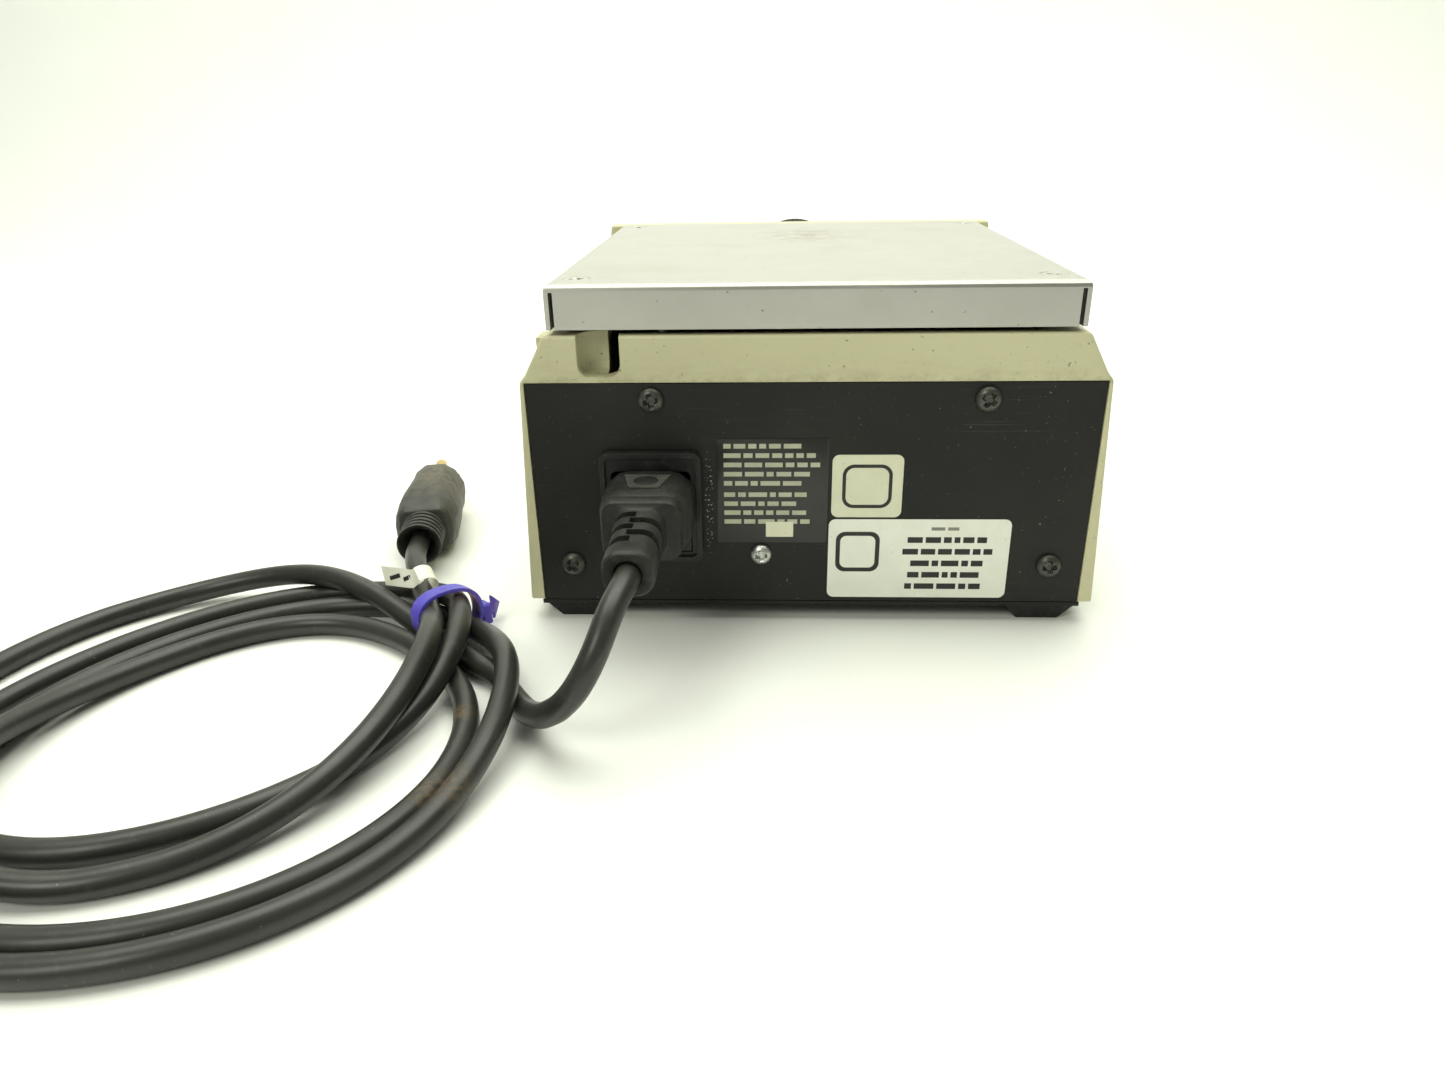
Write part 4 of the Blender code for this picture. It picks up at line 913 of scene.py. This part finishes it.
def build_tie():
    """Strap loop with its catch and arrow-shaped tail."""
    place = tie_frame()
    path = []
    count = 72
    for i in range(count):
        c, s = math.cos(math.tau * i / count), math.sin(math.tau * i / count)
        point = Vector((LOOP_X + LOOP_HALF_X * math.copysign(abs(c) ** LOOP_POWER, c),
                        LOOP_Y + LOOP_HALF_Y * math.copysign(abs(s) ** LOOP_POWER, s), 0))
        path.append((point, Vector((c / LOOP_HALF_X, s / LOOP_HALF_Y, 0)).normalized()))
    loop = loft(strap_rings(path, Vector((0, 0, 1))), closed=True)
    tie = lead_piece("cable_tie_loop", loop, "tie_nylon", place, 40)
    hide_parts("cord_tie")

    # On the loop's side away from the coil's centre: z outwards, x up
    outer = place @ Matrix.Translation((-9.3, 5.6, 0)) @ turn_about("Y", -90)
    outline = rounded_rectangle(6.4, 7.4, 1.4, 4)
    catch = lead_piece("cable_tie_catch", loft(stacked((outline, 0.2), (outline, 3.4))), "tie_nylon",
                       outer)
    round_edges(catch, 0.5, 3)
    slot = bmesh.new()
    add_box(slot, (-0.9, -2.6, 0), (1.2, 2.6, 6))
    cut(catch, slot, outer)

    arrow = [(0, -1.9), (4, -1.9), (4, -4.2), (9, 0), (4, 4.2), (4, 1.9), (0, 1.9)]
    half = 0.55
    bend = outer @ Matrix.Translation((0.2, 0, 2.8)) @ turn_about("Y", ARROW_BEND)
    tail = lead_piece("cable_tie_tail", loft(stacked((arrow, -half), (arrow, half))), "tie_nylon",
                      bend)
    round_edges(tail, 0.3, 2)
    return [tie, catch, tail]


def build_tag():
    """Paper flag, folded round the tail and stuck to itself, with bars for its print."""
    low, high = [Vector((x, y_at(depth), z)) for x, depth, z in TAIL_ROUTE[:2]]
    start = low.lerp(high, 0.7)
    along = (high - low).normalized()
    out = (Vector((143.5, y_at(2), 15)) - start).normalized()
    side = (out - along * out.dot(along)).normalized()
    over = along.cross(side)
    upright = (along * 0.7 + Vector((0, 0, 1))).normalized()
    radius, join, reach, half_height, half_paper = CORD_RADIUS + 0.25, 6, 17.5, 3.3, 0.08

    def layer(travel, lift):
        gap = max(1 - travel / join, 0) ** 1.5
        across = along.lerp(upright, ease(travel / 9)).normalized()
        return start + out * travel + over * lift * (0.12 + radius * gap), across

    steps = [reach * k / 16 for k in range(17)]
    path = [layer(s, -1) for s in reversed(steps)]
    for k in range(1, 16):
        angle = math.radians(-90 - 180 * k / 16)
        path.append((start + (side * math.cos(angle) + over * math.sin(angle)) * radius, along))
    path += [layer(s, 1) for s in steps]
    rings = []
    for i, (point, across) in enumerate(path):
        tangent = path[min(i + 1, len(path) - 1)][0] - path[max(i - 1, 0)][0]
        thick = tangent.cross(across).normalized() * half_paper
        edge = across * half_height
        rings.append([point - edge - thick, point + edge - thick, point + edge + thick, point - edge + thick])
    flag = lead_piece("cord_flag", loft(rings), "flag_paper", None, 50)
    print_bars = bmesh.new()
    for begin, end in ((5.5, 8.6), (10, 14.6)):
        face, across = layer((begin + end) / 2, 1 if over.y > 0 else -1)
        normal = out.cross(across)
        normal = normal if normal.y > 0 else -normal
        place = axis_frame(face + normal * 2 * half_paper, normal, across)
        half = (end - begin) / 2
        add_box(print_bars, (-half, -0.7, 0), (half, 0.7, 0.03), place)
    bars = lead_piece("cord_flag_print", print_bars, "print_black", None)
    return [flag, bars]


# --- screws

# Heads as (radius, level) down from the top, which is at 0
PAN_HEAD = [(1.7, -9), (1.7, -2.25), (3.9, -2.25), (3.95, -2), (3.85, -1.5), (3.45, -0.95),
            (2.8, -0.45), (1.9, -0.12), (0.8, 0)]
SMALL_PAN_HEAD = [(1.7, -14), (1.7, -2.25), (3.4, -2.25), (3.45, -2), (3.35, -1.45), (2.9, -0.85),
                  (2.2, -0.35), (1.4, -0.08), (0.6, 0)]
FLAT_HEAD = [(2, -8), (2, -2.1), (3.95, -0.25), (4.1, -0.1), (4.05, 0), (3.6, 0.02)]


def cross_recess(size, depth, level):
    """Cutter for a cross recess in a head whose top is at a level on z."""
    bm = bmesh.new()
    bottom, top = level - depth, level + 1
    for degrees in (0, 90):
        c, s = math.cos(math.radians(degrees)), math.sin(math.radians(degrees))
        rings = []
        for z, reach, half in ((bottom, size * 0.18, size * 0.09), (top, size * 0.5, size * 0.155)):
            corners = [(-reach, -half), (reach, -half), (reach, half), (-reach, half)]
            rings.append([(x * c - y * s, x * s + y * c, z) for x, y in corners])
        loft(rings, bm=bm)
    return turned([(size * 0.1, bottom - 0.1), (size * 0.24, top)], 16, bm=bm)


def build_screw(node, body, profile, finish, recess, forward, spin):
    """Replace a CAD screw by one with a rounded head and a cross recess (size, depth, level)."""
    low, high = node_box(node)
    middle = (low + high) / 2
    axis = Vector(forward)
    top = max(low.dot(axis), high.dot(axis))
    origin = middle + axis * (top - middle.dot(axis))
    up = (0, 0, 1) if abs(axis.z) < 0.5 else (0, 1, 0)
    place = axis_frame(origin, forward, up) @ turn_about("Z", spin)
    screw = make_piece(node + "_cross", turned(profile, 40), finish, body, matrix=place)
    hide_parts(node)
    cut(screw, cross_recess(*recess), place)


def build_screws():
    for i, spin in enumerate((12, -31, 38, 5), 1):
        build_screw(f"rear_screw_{i}", "base", PAN_HEAD, "black_oxide", (7.2, 1.7, 0),
                    (0, 1, 0), spin)
    build_screw("ground_screw", "base", SMALL_PAN_HEAD, "zinc_plate", (6, 1.6, 0),
                (0, 1, 0), 8)
    for i, spin in enumerate((25, -14, 40, 3), 1):
        build_screw(f"platform_screw_{i}", "platform", FLAT_HEAD, "bare_sheet",
                    (6.4, 1.5, 0.02), (0, 0, 1), spin)


# --- labels

PANEL_FACE = y_at(0.3)
PAPER = 0.12  # thickness of a sticker
ON_PAPER = 0.13  # how far print stands off the panel
PRINT = 0.02  # thickness of print


def rear_frame(x, z, lift=0):
    """Local frame on the rear cover seen from behind: x to the viewer's right, y up, z outwards."""
    return axis_frame((x, PANEL_FACE + lift, z), (0, 1, 0))


def sticker(name, left, right, bottom, top, radius, finish, thickness=PAPER, lift=0):
    """A flat sticker on the rear cover. Left and right are X in the part's frame."""
    outline = rounded_rectangle(right - left, top - bottom, radius, 8)
    inner = rounded_rectangle(right - left - 0.2, top - bottom - 0.2, max(radius - 0.1, 0.05), 8)
    rings = stacked((outline, 0), (outline, thickness * 0.7), (inner, thickness))
    place = rear_frame((left + right) / 2, (bottom + top) / 2, lift)
    make_piece(name, loft(rings), finish, "base", matrix=place)


def print_rows(name, left, right, top, rows, pitch, height, finish, seed, longest=1, centred=False):
    """Rows of plain bars, standing for print without any lettering."""
    draw = random.Random(seed)
    bm = bmesh.new()
    width = right - left
    for row in range(rows):
        z = top - row * pitch
        reach = width * longest * draw.uniform(0.72, 1)
        start = (width - reach) / 2 if centred else 0
        x = start
        while x < start + reach - 1.5:
            word = min(draw.uniform(1.8, 6.4), start + reach - x)
            add_box(bm, (x - width / 2, z - height, 0), (x + word - width / 2, z, PRINT))
            x += word + 0.9
    place = rear_frame((left + right) / 2, 0, ON_PAPER)
    make_piece(name, bm, finish, "base", matrix=place)


def printed_outline(name, x, z, outer, inner):
    """A flat printed outline between two rounded rectangles of (width, height, radius)."""
    band = flat_ring(rounded_rectangle(*outer, 8), rounded_rectangle(*inner, 8), PRINT)
    make_piece(name, band, "print_black", "base", matrix=rear_frame(x, z, ON_PAPER))


def build_labels():
    """Three stickers with plain printed bars and outlines instead of their wording and marks."""
    sticker("label_black", -5.6, 29.2, 28.2, 63.1, 0.8, "label_black_film")
    print_rows("label_black_print", -3.6, 27, 61.4, 5, 3.05, 1.5, "print_cream", 4)
    print_rows("label_black_print_2", -3.6, 27, 45.4, 4, 3.05, 1.5, "print_cream", 9)
    sticker("label_black_field", 5.1, 13.8, 30.2, 35.4, 0.3, "label_cream", PAPER / 2, ON_PAPER)
    sticker("label_square", -28.8, -6.8, 37, 57.8, 2.2, "label_cream")
    printed_outline("label_square_frame", -17.8, 47.4, (15.5, 14.5, 3.6), (13.3, 12.3, 2.6))
    sticker("label_wide", -63.8, -6.2, 8.7, 36.3, 2.2, "label_white")
    printed_outline("label_wide_mark", -15.6, 25, (14, 14, 3), (11.2, 11.2, 2))
    print_rows("label_wide_print", -61, -27.5, 33.6, 1, 3, 1.1, "print_grey", 3, 0.42, True)
    print_rows("label_wide_print_2", -61, -27.5, 30.2, 5, 4.1, 2, "print_black", 12, 0.9, True)


# --- controls

KNOB_AT = (0.7, 3.5)  # on the control plate, from its middle
CONSOLE_RISE, CONSOLE_RUN = 47, 56  # of the slope that the plate lies on
PLATE_HALF = 0.75
DIAL_STEPS, DIAL_SWEEP = 20, 300  # the sweep in degrees
ROCKER_X, ROCKER_SUNK, ROCKER_REST = -50, 2, -10  # the rest angle in degrees
ROCKER_END, ROCKER_CREST = 5.2, 4.92  # a mark's distance from the axis, and its height

# The knob's outline as (radius, level), in three groups, each with the depth of its flutes
KNOB_OUTLINE = (
    ([(14.3, 0.6), (14.5, 0.9), (14.5, 2.2), (14.2, 2.7), (13.7, 3.2), (13.4, 3.7)], 0),
    ([(13.4, 4.2), (13.35, 6.5), (13.25, 12.5), (13.1, 14.7)], 0.55),
    ([(12.7, 15.5), (11.9, 15.9), (11, 16), (10.4, 15.85), (6, 15.8), (2, 15.9)], 0),
)
KNOB_FLUTES = 30


def slope_frame():
    """Local frame of the control panel's face: x across, y up the slope, z out of it."""
    low, high = node_box("control_panel")
    slope = Matrix.Rotation(math.atan2(CONSOLE_RISE, CONSOLE_RUN), 4, "X")
    return Matrix.Translation((low + high) / 2) @ slope @ Matrix.Translation((0, 0, PLATE_HALF))


def knob_frame():
    return slope_frame() @ Matrix.Translation((*KNOB_AT, 0))


def build_knob():
    """Fluted knob with a skirt, a domed cap and a pointer line."""
    place = knob_frame()
    count = 180
    rings = []
    for group, depth in KNOB_OUTLINE:
        for radius, level in group:
            ring = []
            for i in range(count):
                angle = math.tau * i / count
                wave = 0.5 + 0.5 * math.cos(angle * KNOB_FLUTES)
                reach = radius - depth * wave ** 3
                ring.append((reach * math.cos(angle), reach * math.sin(angle), level))
            rings.append(ring)
    knob = make_piece("speed_knob_fluted", loft(rings), "knob_plastic", "knob",
                      matrix=place)
    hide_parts("speed_knob")
    outline = rounded_rectangle(1.2, 9, 0.5, 4, (0, 7.4))
    make_piece("speed_knob_line", loft(stacked((outline, 15.7), (outline, 16.12))), "print_cream",
               "knob", matrix=place)


def build_dial():
    """Tick marks round the knob, with every second one longer and heavier, and the plate's border."""
    bm = bmesh.new()
    start = 16.4
    for i in range(DIAL_STEPS + 1):
        angle = math.radians(90 + DIAL_SWEEP / 2 - DIAL_SWEEP * i / DIAL_STEPS)
        end, half = (20.2, 0.38) if i % 2 == 0 else (18.7, 0.22)
        c, s = math.cos(angle), math.sin(angle)
        corners = [(start, -half), (end, -half), (end, half), (start, half)]
        tick = [(x * c - y * s, x * s + y * c) for x, y in corners]
        loft(stacked((tick, 0), (tick, 0.05)), bm=bm)
    make_piece("dial_ticks", bm, "print_cream", "base", matrix=knob_frame())
    band = flat_ring(rounded_rectangle(144, 52, 3, 6), rounded_rectangle(143, 51, 2.5, 6), 0.04)
    make_piece("control_border", band, "print_cream", "base", matrix=slope_frame())


def build_rocker_marks():
    """A bar and a ring on the rocker's two ends."""
    place = slope_frame() @ Matrix.Translation((ROCKER_X, 0, -ROCKER_SUNK)) @ turn_about("X", ROCKER_REST)
    tilt = math.degrees(math.atan2(1.3, 3.6))
    thick = 0.06
    bar = bmesh.new()
    add_box(bar, (-0.35, -1.3, 0), (0.35, 1.3, thick))
    ring = flat_ring(circle(1.5, 28), circle(1, 28), thick)
    for name, mark, side in (("rocker_bar", bar, 1), ("rocker_ring", ring, -1)):
        end = Matrix.Translation((0, side * ROCKER_END, ROCKER_CREST)) @ turn_about("X", side * tilt)
        make_piece(name, mark, "print_cream", "rocker", matrix=place @ end)


# --- CAD nodes' materials


def numbered(name, count):
    """Names of the nodes that a loop made."""
    return [f"{name}_{i + 1}" for i in range(count)]


NODE_SURFACES = {
    "case_putty": ["housing"],
    "black_panel_paint": ["rear_panel", "base_plate"],
    "foot_rubber": numbered("foot", 4),
    "platform_stainless": ["platform_plate"],
    "bare_sheet": ["drive_frame", "board_transformer"],
    "motor_steel": ["motor", "drive_crank"],
    "zinc_plate": ["motor_shaft", "platform_bearing", "potentiometer", "inlet_pin_earth",
                   "inlet_pin_live", "inlet_pin_neutral", *numbered("idler_crank", 4)],
    "milled_aluminium": ["platform_carrier", "board_heat_sink"],
    "turned_brass": [*numbered("idler_bush", 4), "potentiometer_shaft", *numbered("plug_blade", 2),
                     "plug_ground_pin"],
    "moulded_black": ["inlet_body", "fuse_drawer", "switch_frame", "switch_rocker"],
    "lamp_lens": ["power_lamp"],
    "control_overlay": ["control_panel", "board_capacitor"],
    "solder_mask": ["control_board"],
    "fuse_glass": ["fuse"],
}

# Plain metals as (name, colour, roughness, size of their cloudiness)
METALS = [
    ("motor_steel", (0.45, 0.45, 0.44), 0.45, 6),
    ("zinc_plate", (0.66, 0.67, 0.64), 0.28, 2),
    ("milled_aluminium", (0.7, 0.7, 0.71), 0.38, 6),
    ("turned_brass", (0.66, 0.49, 0.22), 0.3, 6),
]

# Plastics and rubbers as (name, colour, roughness, dust)
MOULDINGS = [
    ("foot_rubber", (0.012, 0.012, 0.012), 0.75, 0.5),
    ("moulded_black", (0.011, 0.011, 0.011), 0.42, 0.5),
    ("moulded_rubber", (0.013, 0.0133, 0.0112), 0.46, 0.5),
    ("pad_rubber", (0.04, 0.041, 0.034), 0.6, 0.8),
    ("rib_rubber", (0.026, 0.0265, 0.022), 0.36, 0.8),
    ("knob_plastic", (0.012, 0.012, 0.012), 0.4, 0.5),
]

# Papers, films and print as (name, colour, shade, roughness, coat)
PAPERS = [
    ("label_black_film", (0.007, 0.007, 0.006), (0.011, 0.0105, 0.009), 0.28, 0.2),
    ("label_cream", (0.76, 0.76, 0.58), (0.69, 0.68, 0.5), 0.35, 0.1),
    ("label_white", (0.87, 0.88, 0.79), (0.8, 0.8, 0.7), 0.35, 0.1),
    ("print_cream", (0.5, 0.5, 0.38), (0.4, 0.4, 0.3), 0.5, 0),
    ("print_black", (0.014, 0.014, 0.013), (0.024, 0.024, 0.021), 0.5, 0),
    ("print_grey", (0.2, 0.2, 0.18), (0.27, 0.27, 0.24), 0.45, 0),
]


def make_surfaces():
    for make in (case_material, black_paint_material, platform_material, black_screw_material,
                 plug_material, jacket_material, tie_material, lens_material, board_material,
                 glass_material, flag_material, floor_material):
        make()
    brushed_material("bare_sheet", stained=False).finish()
    moulded_material("control_overlay", (0.018, 0.018, 0.02), 0.5, 0.3, 0.25)
    for row in METALS:
        plain_metal(*row)
    for row in MOULDINGS:
        moulded_material(*row)
    for row in PAPERS:
        label_material(*row)


def dress_nodes():
    for finish, names in NODE_SURFACES.items():
        for name in names:
            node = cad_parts[name]
            node.data.materials.clear()
            node.data.materials.append(SURFACES[finish])


# --- floor and light


def build_stage():
    """A pale floor that curves up into a pale wall far behind the object."""
    half_width, front, wall_at, radius, height = 3000, 2600, -1150, 300, 2200
    profile = [(front, 0), (0, 0), (wall_at + radius, 0)]
    profile += [(wall_at + radius - radius * math.sin(a), radius - radius * math.cos(a))
                for a in [math.radians(90 * i / 24) for i in range(1, 25)]]
    profile.append((wall_at, height))
    bm = bmesh.new()
    rows = [[bm.verts.new((x, y, z)) for x in (-half_width, half_width)] for y, z in profile]
    for near, far in zip(rows, rows[1:]):
        bm.faces.new((near[0], near[1], far[1], far[0]))
    make_piece("floor", bm, "floor_paper", None, smooth=60)


def add_light(name, place, aim, size, power, colour):
    light = bpy.data.lights.new(name, "AREA")
    light.shape = "RECTANGLE"
    light.size, light.size_y = size
    light.energy = power
    light.color = colour
    lamp = add_object(name, light)
    lamp.location = place
    lamp.rotation_euler = (Vector(aim) - Vector(place)).to_track_quat("-Z", "Y").to_euler()


def build_light():
    """Soft light from above in a pale room, with a slight yellow-green cast."""
    cast = (1, 1.02, 0.88)
    add_light("top", (0, -0.25, 1.65), (0, 0, 0), (2.2, 1.5), 33, cast)
    add_light("wall", (0, -0.2, 1.5), (0, -1.1, 0.4), (2.2, 0.8), 9.5, (1, 1, 0.97))
    add_light("key", (0.8, 1.4, 1.35), (0, 0, 0.05), (0.8, 0.7), 12, cast)
    world = bpy.data.worlds.new("studio")
    world.use_nodes = True
    background = world.node_tree.nodes["Background"]
    background.inputs["Color"].default_value = (*cast, 1)
    background.inputs["Strength"].default_value = 0.25
    bpy.context.scene.world = world
    bpy.context.scene.view_settings.view_transform = "Standard"


# --- whole scene

build_camera()
make_surfaces()
lead = build_lead()
on_lead = build_connector() + build_plug() + build_tie() + build_tag()
build_screws()
build_labels()
build_knob()
build_dial()
build_rocker_marks()
dress_nodes()
build_stage()
build_light()
